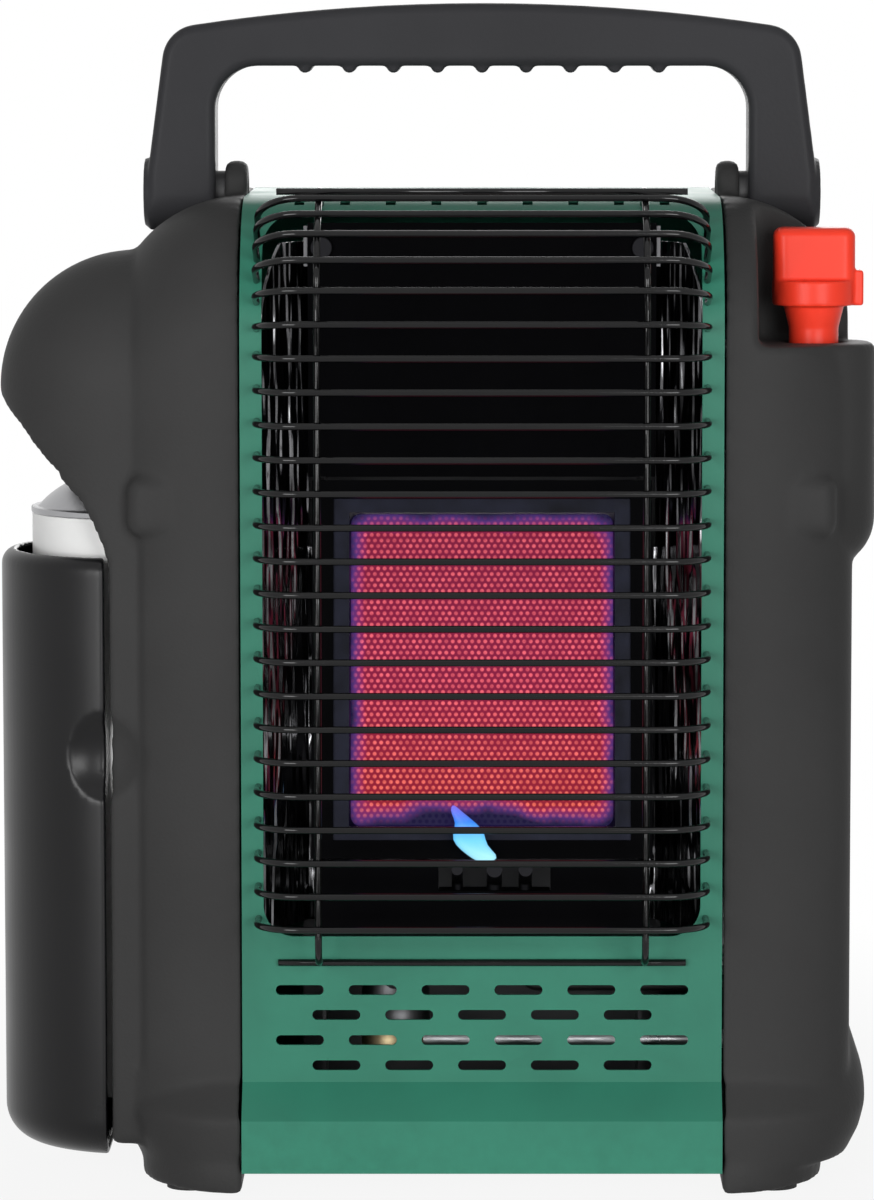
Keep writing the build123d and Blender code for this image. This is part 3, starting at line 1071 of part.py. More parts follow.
# ---------------------------------------------------------------- gas pipes and leads
valve_side = KNOB_X - VALVE_BLOCK / 2
sensor_port = KNOB_Y + SENSOR_PORT
jet_entry = MIXER.location * Location((MIXER_TUBE / 2 - 2, 0, MIXER_LENGTH + JET_HEIGHT / 2))
jet_x, jet_y, jet_z = jet_entry.position
supply_pipe = routed([(OUTLET_X, OUTLET_Y, OUTLET_Z), (SUPPLY_X, OUTLET_Y, OUTLET_Z),
                      (SUPPLY_X, SUPPLY_Y, OUTLET_Z), (RISER_X, SUPPLY_Y, OUTLET_Z),
                      (RISER_X, SUPPLY_Y, SUPPLY_PORT), (RISER_X, KNOB_Y, SUPPLY_PORT),
                      (valve_side, KNOB_Y, SUPPLY_PORT)], SUPPLY_BEND, PIPE)
burner_pipe = routed([(KNOB_X, KNOB_Y, VALVE_TOP - VALVE_HEIGHT), (KNOB_X, KNOB_Y, BURNER_PIPE_Z),
                      (BURNER_PIPE_X, KNOB_Y, BURNER_PIPE_Z), (BURNER_PIPE_X, jet_y, BURNER_PIPE_Z),
                      (BURNER_PIPE_X, jet_y, jet_z), (jet_x, jet_y, jet_z)], BURNER_BENDS, PIPE)
pilot_pipe = routed([(valve_side, PILOT_Y, PILOT_PORT), (PILOT_PIPE_X, PILOT_Y, PILOT_PORT),
                     (PILOT_PIPE_X, PILOT_Y, PILOT_PIPE_Z), (PILOT_X, PILOT_Y, PILOT_PIPE_Z),
                     (PILOT_X, PILOT_Y, PILOT_PLATE)], LEAD_BEND, LEAD)
thermocouple_lead = routed([(valve_side, sensor_port, SENSOR_PORT_Z), (SENSOR_X, sensor_port, SENSOR_PORT_Z),
                            (SENSOR_X, sensor_port, SENSOR_Z), (SENSOR_X, SENSOR_Y, SENSOR_Z),
                            (PROBE_X, SENSOR_Y, SENSOR_Z), (PROBE_X, SENSOR_Y, LEAD_RISE),
                            (PROBE_X, PILOT_Y, LEAD_RISE), (PROBE_X, PILOT_Y, PILOT_PLATE)],
                           SENSOR_BEND, LEAD)
ignition_lead = routed([(KNOB_X, IGNITER_Y, IGNITER_FOOT), (KNOB_X, IGNITER_Y, IGNITION_HIGH),
                        (IGNITION_X, IGNITER_Y, IGNITION_HIGH), (IGNITION_X, IGNITER_Y, IGNITION_Z),
                        (IGNITION_X, IGNITION_Y, IGNITION_Z), (SPARK_X, IGNITION_Y, IGNITION_Z),
                        (SPARK_X, IGNITION_Y, LEAD_RISE), (SPARK_X, PILOT_Y, LEAD_RISE),
                        (SPARK_X, PILOT_Y, PILOT_PLATE)], IGNITION_BEND, LEAD)
switch_lead = routed([(SWITCH_BOX[0] / 2, SWITCH_Y, SWITCH_PORT), (SWITCH_LEAD_X, SWITCH_Y, SWITCH_PORT),
                      (SWITCH_LEAD_X, SWITCH_Y, SWITCH_LEAD_Z),
                      (SWITCH_LEAD_X, KNOB_Y + VALVE_BLOCK / 2, SWITCH_LEAD_Z)], LEAD_BEND, LEAD)

pieces = {
    "front_panel": front_panel, "back_cover": back_cover, "base_tray": base_tray,
    "back_screws": back_screws, "foot_pads": foot_pads, "wire_guard": wire_guard,
    "right_housing": right_housing, "left_housing": left_housing,
    "burner_surround": burner_surround, "burner_housing": burner_housing,
    "ceramic_tile": ceramic_tile, "tile_gasket": tile_gasket, "mixer_tube": mixer_tube,
    "gas_jet": gas_jet, "burner_brackets": burner_brackets, "upper_deflector": upper_deflector,
    "deflector_screws": deflector_screws, "lower_apron": lower_apron,
    "reflector_right": reflector_right, "reflector_left": reflector_left,
    "pilot_bracket": pilot_bracket, "pilot_burner": pilot_burner, "thermocouple": thermocouple,
    "spark_electrode": spark_electrode, "heat_shield": heat_shield,
    "tip_over_switch": tip_over_switch, "regulator_body": regulator_body,
    "regulator_cap": regulator_cap, "inlet_seal": inlet_seal, "regulator_bracket": regulator_bracket,
    "cartridge_body": cartridge_body, "cartridge_dome": cartridge_dome,
    "cartridge_valve": cartridge_valve, "cartridge_cover": cartridge_cover,
    "cover_hinge_pins": cover_hinge_pins, "carry_handle": carry_handle,
    "handle_pivot_pins": handle_pivot_pins, "handle_washers": handle_washers,
    "control_knob": control_knob, "valve_stem": valve_stem, "stem_collar": stem_collar,
    "knob_spring": knob_spring, "control_valve": control_valve, "valve_bracket": valve_bracket,
    "piezo_igniter": piezo_igniter, "supply_pipe": supply_pipe, "burner_pipe": burner_pipe,
    "pilot_pipe": pilot_pipe, "thermocouple_lead": thermocouple_lead,
    "ignition_lead": ignition_lead, "switch_lead": switch_lead,
}
os.makedirs("parts", exist_ok=True)
for name, piece in pieces.items():
    write(piece, name)
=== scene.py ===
"""Dressing of the portable propane heater: finishes, softened mouldings, glowing tile and stage.

The solids load first as a fixed frame. Each operator dresses one piece or one group of like
pieces, and the last one sets the stage. Lengths are in metres, in the frame of the solids.
"""
import json
import math

import bmesh
import bpy
from bpy.props import FloatProperty, FloatVectorProperty, IntProperty, PointerProperty
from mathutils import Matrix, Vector


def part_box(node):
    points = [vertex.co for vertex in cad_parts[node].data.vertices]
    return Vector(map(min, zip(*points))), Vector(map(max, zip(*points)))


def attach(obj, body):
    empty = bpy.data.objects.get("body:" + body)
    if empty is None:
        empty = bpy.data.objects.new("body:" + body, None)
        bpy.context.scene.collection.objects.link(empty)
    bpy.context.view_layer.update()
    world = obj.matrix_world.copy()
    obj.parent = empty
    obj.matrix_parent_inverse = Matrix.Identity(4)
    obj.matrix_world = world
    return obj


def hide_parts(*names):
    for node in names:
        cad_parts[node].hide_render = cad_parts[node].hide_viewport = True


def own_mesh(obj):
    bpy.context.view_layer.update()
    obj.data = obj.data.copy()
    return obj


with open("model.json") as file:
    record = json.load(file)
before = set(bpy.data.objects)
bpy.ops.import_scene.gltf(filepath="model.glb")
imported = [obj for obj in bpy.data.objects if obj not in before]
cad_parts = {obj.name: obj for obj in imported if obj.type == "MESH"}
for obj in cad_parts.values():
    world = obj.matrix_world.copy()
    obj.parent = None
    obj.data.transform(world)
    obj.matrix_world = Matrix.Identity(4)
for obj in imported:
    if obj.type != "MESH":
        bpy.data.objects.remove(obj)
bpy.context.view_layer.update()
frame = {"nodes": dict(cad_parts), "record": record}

bl_info = {
    "name": "Portable Propane Heater",
    "version": (1, 0, 0),
    "blender": (4, 5, 0),
    "location": "3D View > Sidebar > Heater",
    "description": "Dresses the solids of a portable radiant propane heater",
    "category": "Object",
}

NODES = frame["nodes"]
BODY_OF = {solid: body for body, solids in frame["record"]["behaviour"]["bodies"].items()
           for solid in solids}

CASING_X = 0.01515         # the casing's middle in the solids' frame
PANEL_Y = -0.072525        # the front panel's face
LEAN = math.radians(10.0)  # the burner leans back by this much
TILE_MIDDLE = sum(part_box("ceramic_tile"), Vector()) / 2

MERGE = 0.00001            # corners closer than this become one
FLAT = math.radians(0.4)   # faces that turn by less than this become one
WIRE_COAT = 0.00018        # thickness of the enamel on the guard's wires
THIN_SHEET = 0.6           # rounding of the thin sheets, as a share of the casing's
COVER_SKIN = (0.0011, 5)   # mesh size of a softened piece, and its rounds of blending
HANDLE_SKIN = (0.0010, 4)
KNOB_SKIN = (0.0006, 4)

PILOT_LEFT = 0.006         # the glow dips over a point this far left of the tile's middle
DIP_HEIGHT = 0.0045        # how far the glow's lower edge rises there
DIP_REACH = (0.008, 0.026)  # full dip as far as the first, none past the second
SQUARENESS = 20.0          # power of the glowing field's rounded outline
RAGGED = 0.12              # how far its edge wanders, as a share of its half size

FLAME_FOOT = Vector((CASING_X + 0.0010, PANEL_Y + 0.004, 0.1065))
FLAME_TIP = Vector((CASING_X - 0.0092, PANEL_Y + 0.009, 0.1245))
FLAME_RADIUS = 0.0072
FLAME_TAPER = 0.70         # share of the radius that is lost at the tip
FLAME_CURL = 0.22          # depth of the waves along its side, as a share of the radius

# each softbox: name, place, what it looks at, side and power
LAMPS = (
    ("left_softbox", (-0.80, -1.66, 0.38), (0, 0, 0.18), 0.8, 16.8),
    ("right_softbox", (0.70, -1.70, 0.40), (0, 0, 0.18), 0.75, 15.2),
    ("top_softbox", (0.1, -0.55, 1.6), (0, 0, 0.2), 1.0, 0.9),
    ("back_softbox", (0.35, 1.9, 0.75), (0, 0, 0.2), 1.2, 13.0),
)
ROOM_LIGHT = 0.06
FLOOR_TONE = 0.50
FLOOR_DEPTH = -0.0002      # just under the pads
FLOOR_FADE = (0.90, 1.0)   # share of plain white near the heater and far from it
FADE_REACH = (0.17, 0.50)  # distances between which it goes from one to the other

WHITE = (1.0, 1.0, 1.0)
BLACK = (0.0, 0.0, 0.0)
ROOT_3 = math.sqrt(3.0)
MIX_FACTOR, MIX_A, MIX_B, MIX_COLOUR = 0, 6, 7, 2  # a colour Mix node's sockets, by number


# ------------------------------------------------------------------ shader building blocks
def group(name, sockets_in, sockets_out):
    """Empty shader group with named sockets: its tree, its input node and its output node."""
    tree = bpy.data.node_groups.new(name, "ShaderNodeTree")
    for socket, default in sockets_in:
        made = tree.interface.new_socket(name=socket, in_out="INPUT",
                                         socket_type="NodeSocketFloat")
        made.default_value = default
    for socket in sockets_out:
        tree.interface.new_socket(name=socket, in_out="OUTPUT", socket_type="NodeSocketFloat")
    return tree, tree.nodes.new("NodeGroupInput"), tree.nodes.new("NodeGroupOutput")


def node(tree, kind, **settings):
    """New node with its settings."""
    made = tree.nodes.new(kind)
    for key, value in settings.items():
        setattr(made, key, value)
    return made


def feed(tree, value, socket):
    """Link a socket to an input, or set the input to a plain value."""
    if isinstance(value, bpy.types.NodeSocket):
        tree.links.new(value, socket)
    else:
        socket.default_value = value


def math_node(tree, operation, a, b=None):
    """Math node on two sockets or numbers."""
    made = node(tree, "ShaderNodeMath", operation=operation)
    feed(tree, a, made.inputs[0])
    if b is not None:
        feed(tree, b, made.inputs[1])
    return made.outputs[0]


def mixed(tree, factor, a, b, blend_type="MIX"):
    """Mix of two colours; factor, a and b are sockets or plain values."""
    made = node(tree, "ShaderNodeMix", data_type="RGBA", blend_type=blend_type)
    for slot, value in ((MIX_FACTOR, factor), (MIX_A, a), (MIX_B, b)):
        feed(tree, value, made.inputs[slot])
    return made.outputs[MIX_COLOUR]


def ramp(tree, source, stops):
    """Colour ramp over a socket; stops are (place, colour)."""
    made = node(tree, "ShaderNodeValToRGB")
    while len(made.color_ramp.elements) < len(stops):
        made.color_ramp.elements.new(0.5)
    for element, (position, colour) in zip(made.color_ramp.elements, stops):
        element.position = position
        element.color = (*colour[:3], 1.0)
    tree.links.new(source, made.inputs["Fac"])
    return made.outputs["Color"]


def spread(tree, source, low, high, start=0.3, stop=0.7, interpolation="LINEAR"):
    """A socket's values from start to stop, stretched to low to high."""
    made = node(tree, "ShaderNodeMapRange", interpolation_type=interpolation)
    tree.links.new(source, made.inputs["Value"])
    for key, value in (("From Min", start), ("From Max", stop), ("To Min", low), ("To Max", high)):
        made.inputs[key].default_value = value
    return made.outputs["Result"]


def place_on(tree):
    """Place on the piece, in object coordinates."""
    return node(tree, "ShaderNodeTexCoord").outputs["Object"]


def noise(tree, place, scale, detail=2.0):
    """Noise over a place."""
    made = node(tree, "ShaderNodeTexNoise")
    tree.links.new(place, made.inputs["Vector"])
    feed(tree, scale, made.inputs["Scale"])
    made.inputs["Detail"].default_value = detail
    return made.outputs["Fac"]


def shade(colour, *factors):
    """A colour made lighter or darker, by one factor or by one for each channel."""
    if len(factors) == 1:
        factors *= 3
    return tuple(min(1.0, channel * factor) for channel, factor in zip(colour, factors))


# ------------------------------------------------------------------ shared effects
def grain_group():
    """Moulded grain: pebbled height and a slow tone."""
    tree, start, end = group("Moulded Grain", [("Pebble Scale", 900.0), ("Cloud Scale", 14.0)],
                             ["Height", "Cloud"])
    place = place_on(tree)
    pebble_scale = start.outputs["Pebble Scale"]
    pebble = node(tree, "ShaderNodeTexVoronoi", feature="SMOOTH_F1")
    tree.links.new(place, pebble.inputs["Vector"])
    tree.links.new(pebble_scale, pebble.inputs["Scale"])
    speck = noise(tree, place, math_node(tree, "MULTIPLY", pebble_scale, 1.7))
    height = math_node(tree, "ADD", pebble.outputs["Distance"],
                       math_node(tree, "MULTIPLY", speck, 0.5))
    cloud = noise(tree, place, start.outputs["Cloud Scale"], detail=5.0)
    tree.links.new(height, end.inputs["Height"])
    tree.links.new(cloud, end.inputs["Cloud"])


def wear_and_highlight_group():
    """Edge wear and painted highlight: a mask that is high on convex edges, broken up by noise; the
    paler edges it makes are partly wear and partly painted highlight lines.
    """
    tree, start, end = group("Edge Wear And Painted Highlight", [("Sharpness", 0.53), ("Break Up", 260.0)], ["Mask"])
    shape = node(tree, "ShaderNodeNewGeometry")
    sharper = math_node(tree, "SUBTRACT", shape.outputs["Pointiness"], start.outputs["Sharpness"])
    mask = node(tree, "ShaderNodeMath", operation="MULTIPLY", use_clamp=True)
    tree.links.new(math_node(tree, "MULTIPLY", sharper, 14.0), mask.inputs[0])
    tree.links.new(noise(tree, place_on(tree), start.outputs["Break Up"]), mask.inputs[1])
    tree.links.new(mask.outputs[0], end.inputs["Mask"])


def smudge_group():
    """Handled metal or enamel: wiped dust in its tone, and a ripple 22 times finer."""
    tree, start, end = group("Wiped Surface", [("Scale", 30.0)], ["Tone", "Ripple"])
    place = place_on(tree)
    scale = start.outputs["Scale"]
    tree.links.new(noise(tree, place, scale, detail=6.0), end.inputs["Tone"])
    tree.links.new(noise(tree, place, math_node(tree, "MULTIPLY", scale, 22.0)),
                   end.inputs["Ripple"])


def holes_group():
    """Staggered burner holes on a leaning tile: hole mask, and the place across and up it."""
    tree, start, end = group("Burner Holes", [("Pitch", 0.0021)], ["Hole", "Across", "Up"])
    centred = node(tree, "ShaderNodeVectorMath", operation="SUBTRACT")
    tree.links.new(place_on(tree), centred.inputs[0])
    centred.inputs[1].default_value = TILE_MIDDLE
    parts = node(tree, "ShaderNodeSeparateXYZ")
    tree.links.new(centred.outputs[0], parts.inputs[0])
    slope = node(tree, "ShaderNodeVectorMath", operation="DOT_PRODUCT")
    tree.links.new(centred.outputs[0], slope.inputs[0])
    slope.inputs[1].default_value = (0.0, math.sin(LEAN), math.cos(LEAN))
    across, up = parts.outputs["X"], slope.outputs["Value"]
    pitch = start.outputs["Pitch"]
    row_pitch = math_node(tree, "MULTIPLY", pitch, ROOT_3)

    def off_centre(along, step, shift):
        """Distance from the middle of a cell along one way, in cells, kept clear of zero."""
        cell = math_node(tree, "ADD", math_node(tree, "DIVIDE", along, step), shift + 100.0)
        return math_node(tree, "SUBTRACT", math_node(tree, "FRACT", cell), 0.5)

    gaps = []
    for shift in (0.0, 0.5):
        off_x = off_centre(across, pitch, shift)
        off_y = math_node(tree, "MULTIPLY", off_centre(up, row_pitch, shift), ROOT_3)
        gaps.append(math_node(tree, "SQRT", math_node(
            tree, "ADD", math_node(tree, "MULTIPLY", off_x, off_x),
            math_node(tree, "MULTIPLY", off_y, off_y))))
    nearest = math_node(tree, "MINIMUM", *gaps)
    tree.links.new(spread(tree, nearest, 1.0, 0.0, 0.18, 0.40, "SMOOTHSTEP"), end.inputs["Hole"])
    tree.links.new(across, end.inputs["Across"])
    tree.links.new(up, end.inputs["Up"])


# ------------------------------------------------------------------ finishes
def blank(name):
    """New material with a Principled shader: its tree and that shader."""
    material = bpy.data.materials.new(name)
    material.use_nodes = True
    return material.node_tree, material.node_tree.nodes["Principled BSDF"]


def place_group(tree, name, **values):
    """A shared effect placed in a material, with its own values."""
    made = node(tree, "ShaderNodeGroup", node_tree=bpy.data.node_groups[name])
    for key, value in values.items():
        made.inputs[key.replace("_", " ")].default_value = value
    return made


def bumped(tree, shader, height, strength, distance):
    """Feed a height to the shader's normal."""
    bump = node(tree, "ShaderNodeBump")
    bump.inputs["Strength"].default_value = strength
    bump.inputs["Distance"].default_value = distance
    tree.links.new(height, bump.inputs["Height"])
    tree.links.new(bump.outputs["Normal"], shader.inputs["Normal"])


def worn_and_highlit_colour(tree, shader, tone, colour, tone_change, wear_and_highlight):
    """Base colour that drifts with a tone and is paler on convex edges, partly as rubbed wear and
    partly as painted highlight.
    """
    worn_and_highlit = place_group(tree, "Edge Wear And Painted Highlight")
    base = ramp(tree, tone, [(0.3, shade(colour, 1 - tone_change)),
                             (0.7, shade(colour, 1 + tone_change))])
    rubbed_and_highlit = (*shade(colour, wear_and_highlight), 1.0)
    tree.links.new(mixed(tree, worn_and_highlit.outputs["Mask"], base, rubbed_and_highlit), shader.inputs["Base Color"])


def moulded_plastic(name, colour, rough=0.5, pebble=900.0, relief=0.25, wear_and_highlight=1.6, specular=0.5):
    """Grained moulded plastic with slightly paler edges, partly rubbed wear and partly painted
    highlight.
    """
    tree, shader = blank(name)
    grain = place_group(tree, "Moulded Grain", Pebble_Scale=pebble)
    worn_and_highlit_colour(tree, shader, grain.outputs["Cloud"], colour, 0.12, wear_and_highlight)
    tree.links.new(spread(tree, grain.outputs["Cloud"], rough - 0.05, rough + 0.06),
                   shader.inputs["Roughness"])
    shader.inputs["Specular IOR Level"].default_value = specular
    bumped(tree, shader, grain.outputs["Height"], relief, 0.0002)


def enamel(name, colour, rough=0.3, scale=30.0, ripple=0.08, specular=0.5, tone=0.1):
    """Stove enamel or paint on sheet: a faint orange peel and wiped dust."""
    tree, shader = blank(name)
    wiped = place_group(tree, "Wiped Surface", Scale=scale)
    # paler convex edges here too: partly wear, partly painted highlight
    worn_and_highlit_colour(tree, shader, wiped.outputs["Tone"], colour, tone, 1.5)
    tree.links.new(spread(tree, wiped.outputs["Tone"], rough - 0.05, rough + 0.08),
                   shader.inputs["Roughness"])
    shader.inputs["Specular IOR Level"].default_value = specular
    bumped(tree, shader, wiped.outputs["Ripple"], ripple, 0.0003)


def polished_reflector(name, colour, rough, relief):
    """Heat-tinted bright sheet whose long upright ripples break reflections into streaks."""
    tree, shader = blank(name)
    stretch = node(tree, "ShaderNodeMapping")
    stretch.inputs["Scale"].default_value = (1.0, 1.0, 0.16)
    tree.links.new(place_on(tree), stretch.inputs["Vector"])
    wave = noise(tree, stretch.outputs["Vector"], 210.0, detail=1.0)
    soot = place_group(tree, "Wiped Surface", Scale=40.0)
    tree.links.new(ramp(tree, soot.outputs["Tone"], [(0.38, shade(colour, 0.08)), (0.62, colour)]),
                   shader.inputs["Base Color"])
    tree.links.new(spread(tree, soot.outputs["Tone"], rough + 0.12, rough),
                   shader.inputs["Roughness"])
    shader.inputs["Metallic"].default_value = 1.0
    bumped(tree, shader, wave, relief, 0.006)


def bare_metal(name, colour, rough=0.3):
    """Bare or plated metal with fine rolling marks."""
    tree, shader = blank(name)
    wiped = place_group(tree, "Wiped Surface", Scale=60.0)
    tone = wiped.outputs["Tone"]
    tree.links.new(ramp(tree, tone, [(0.25, shade(colour, 0.8)), (0.75, shade(colour, 1.08))]),
                   shader.inputs["Base Color"])
    tree.links.new(spread(tree, tone, rough - 0.06, rough + 0.1), shader.inputs["Roughness"])
    shader.inputs["Metallic"].default_value = 1.0
    bumped(tree, shader, wiped.outputs["Ripple"], 0.1, 0.0002)


def glowing_field(tree, settings, across, up, patch):
    """Share of the way from the glow's middle to its edge: a rounded, ragged oblong."""
    side = math_node(tree, "DIVIDE", math_node(
        tree, "ABSOLUTE", math_node(tree, "SUBTRACT", across, settings.glow_shift)),
        settings.glow_width / 2)
    from_pilot = math_node(tree, "ABSOLUTE", math_node(tree, "ADD", across, PILOT_LEFT))
    below = math_node(tree, "SUBTRACT", spread(tree, from_pilot, DIP_HEIGHT, 0.0, *DIP_REACH), up)
    rise = math_node(tree, "DIVIDE", math_node(tree, "MAXIMUM", up, below),
                     settings.glow_height / 2)
    power = math_node(tree, "ADD", math_node(tree, "POWER", side, SQUARENESS), math_node(
        tree, "POWER", math_node(tree, "MAXIMUM", rise, 0.0), SQUARENESS))
    wander = math_node(tree, "MULTIPLY", math_node(tree, "SUBTRACT", patch, 0.5), RAGGED)
    return math_node(tree, "ADD", math_node(tree, "POWER", power, 1 / SQUARENESS), wander)


def glowing_tile(name, settings):
    """Porous ceramic whose bright holes glow pink above and orange below, with a violet rim."""
    tree, shader = blank(name)
    holes = place_group(tree, "Burner Holes", Pitch=settings.hole_pitch)
    hole, across, up = (holes.outputs[key] for key in ("Hole", "Across", "Up"))
    glow, spark, rim = settings.glow_colour, settings.hole_colour, settings.rim_colour
    place = place_on(tree)
    patch, fine = noise(tree, place, 70.0), noise(tree, place, 420.0)
    field = glowing_field(tree, settings, across, up, patch)

    half = settings.glow_height / 2
    down = spread(tree, up, 0.0, 1.0, half, -half)
    body = ramp(tree, down, [(0.0, shade(glow, 0.85)), (0.5, glow),
                             (1.0, shade(glow, 1.25, 1.6, 0.45))])
    sparks = ramp(tree, down, [(0.0, shade(spark, 0.8)), (0.55, spark),
                               (1.0, shade(spark, 1.0, 1.25, 0.55))])
    lit_holes = math_node(tree, "MULTIPLY", hole, spread(tree, fine, 0.45, 1.0, 0.35, 0.65))
    edge = ramp(tree, field, [(0.0, WHITE), (0.90, WHITE), (0.965, (0.12, 0.12, 0.12)),
                              (1.0, BLACK)])
    halo = ramp(tree, field, [(0.0, BLACK), (0.87, BLACK), (0.955, rim), (1.0, shade(rim, 0.25))])
    lit = mixed(tree, 1.0, mixed(tree, lit_holes, body, sparks), edge, "MULTIPLY")
    tree.links.new(mixed(tree, 1.0, lit, halo, "ADD"), shader.inputs["Emission Color"])
    shader.inputs["Emission Strength"].default_value = settings.glow_strength

    # base colour darker in the holes: painted shade in their depth
    tree.links.new(ramp(tree, hole, [(0.0, (0.015, 0.014, 0.020)), (1.0, (0.004, 0.004, 0.005))]),
                   shader.inputs["Base Color"])
    shader.inputs["Roughness"].default_value = 0.95
    shader.inputs["Specular IOR Level"].default_value = 0.1
    bumped(tree, shader, math_node(tree, "SUBTRACT", 1.0, hole), 0.5, 0.0003)


def flame_material(name, settings):
    """Blue gas flame: bright core, thin towards its edges."""
    tree, shader = blank(name)
    facing = node(tree, "ShaderNodeLayerWeight")
    facing.inputs["Blend"].default_value = 0.35
    parts = node(tree, "ShaderNodeSeparateXYZ")
    tree.links.new(place_on(tree), parts.inputs[0])
    foot_to_tip = spread(tree, parts.outputs["Z"], 0.0, 1.0, 0.107, 0.126)
    tree.links.new(ramp(tree, foot_to_tip, [(0.0, (0.42, 0.85, 1.0)), (0.35, (0.16, 0.62, 1.0)),
                                            (0.65, (0.03, 0.22, 0.85)), (1.0, (0.22, 0.12, 0.75))]),
                   shader.inputs["Emission Color"])
    shader.inputs["Emission Strength"].default_value = settings.flame_strength
    shader.inputs["Base Color"].default_value = (*BLACK, 1.0)
    tree.links.new(spread(tree, facing.outputs["Facing"], 0.92, 0.0, 0.05, 0.80),
                   shader.inputs["Alpha"])


# ------------------------------------------------------------------ mesh helpers
def deselect():
    """Select nothing."""
    bpy.ops.object.select_all(action="DESELECT")


def only(piece):
    """Select and activate one piece."""
    deselect()
    piece.select_set(True)
    bpy.context.view_layer.objects.active = piece


def edit_all(operator, **values):
    """Run an edit mode operator on all of the active piece."""
    bpy.ops.object.mode_set(mode="EDIT")
    bpy.ops.mesh.select_all(action="SELECT")
    operator(**values)
    bpy.ops.object.mode_set(mode="OBJECT")


def merged_copy(solid, name):
    """Copy of a solid with its loose triangles joined."""
    piece = bpy.data.objects.new(name, NODES[solid].data.copy())
    bpy.context.scene.collection.objects.link(piece)
    piece.data.materials.clear()
    only(piece)
    edit_all(bpy.ops.mesh.remove_doubles, threshold=MERGE)
    return piece


def apply_modifier(piece, kind, **settings):
    """Add a modifier and apply it."""
    modifier = piece.modifiers.new(kind.title(), kind)
    for key, value in settings.items():
        setattr(modifier, key, value)
    only(piece)
    bpy.ops.object.modifier_apply(modifier=modifier.name)


def finish_piece(piece, solid, finish, angle=None):
    """Smooth a piece, give it its finish, and let it ride and stand for its solid."""
    only(piece)
    if angle is None:
        bpy.ops.object.shade_smooth()
    else:
        bpy.ops.object.shade_smooth_by_angle(angle=math.radians(angle))
    piece.data.materials.append(bpy.data.materials[finish])
    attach(piece, BODY_OF[solid])
    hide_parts(solid)
    return piece


def bevelled(solid, name, finish, width, angle=35.0):
    """Solid with joined faces and softened edges."""
    piece = merged_copy(solid, name)
    edit_all(bpy.ops.mesh.dissolve_limited, angle_limit=FLAT)
    apply_modifier(piece, "BEVEL", width=width, segments=2, limit_method="ANGLE",
                   angle_limit=math.radians(angle), harden_normals=False)
    finish_piece(piece, solid, finish, angle)
    apply_modifier(piece, "WEIGHTED_NORMAL", keep_sharp=True)
    return piece


def softened(solid, name, finish, voxel, rounds):
    """Moulding remeshed to an even skin, with every crease blended."""
    piece = merged_copy(solid, name)
    apply_modifier(piece, "REMESH", mode="VOXEL", voxel_size=voxel)
    apply_modifier(piece, "SMOOTH", factor=0.5, iterations=rounds)
    apply_modifier(piece, "SHRINKWRAP", target=NODES[solid], wrap_method="NEAREST_SURFACEPOINT")
    apply_modifier(piece, "SMOOTH", factor=0.5, iterations=rounds)
    return finish_piece(piece, solid, finish)


def settings_of(context):
    """The heater's settings on the scene."""
    return context.scene.heater


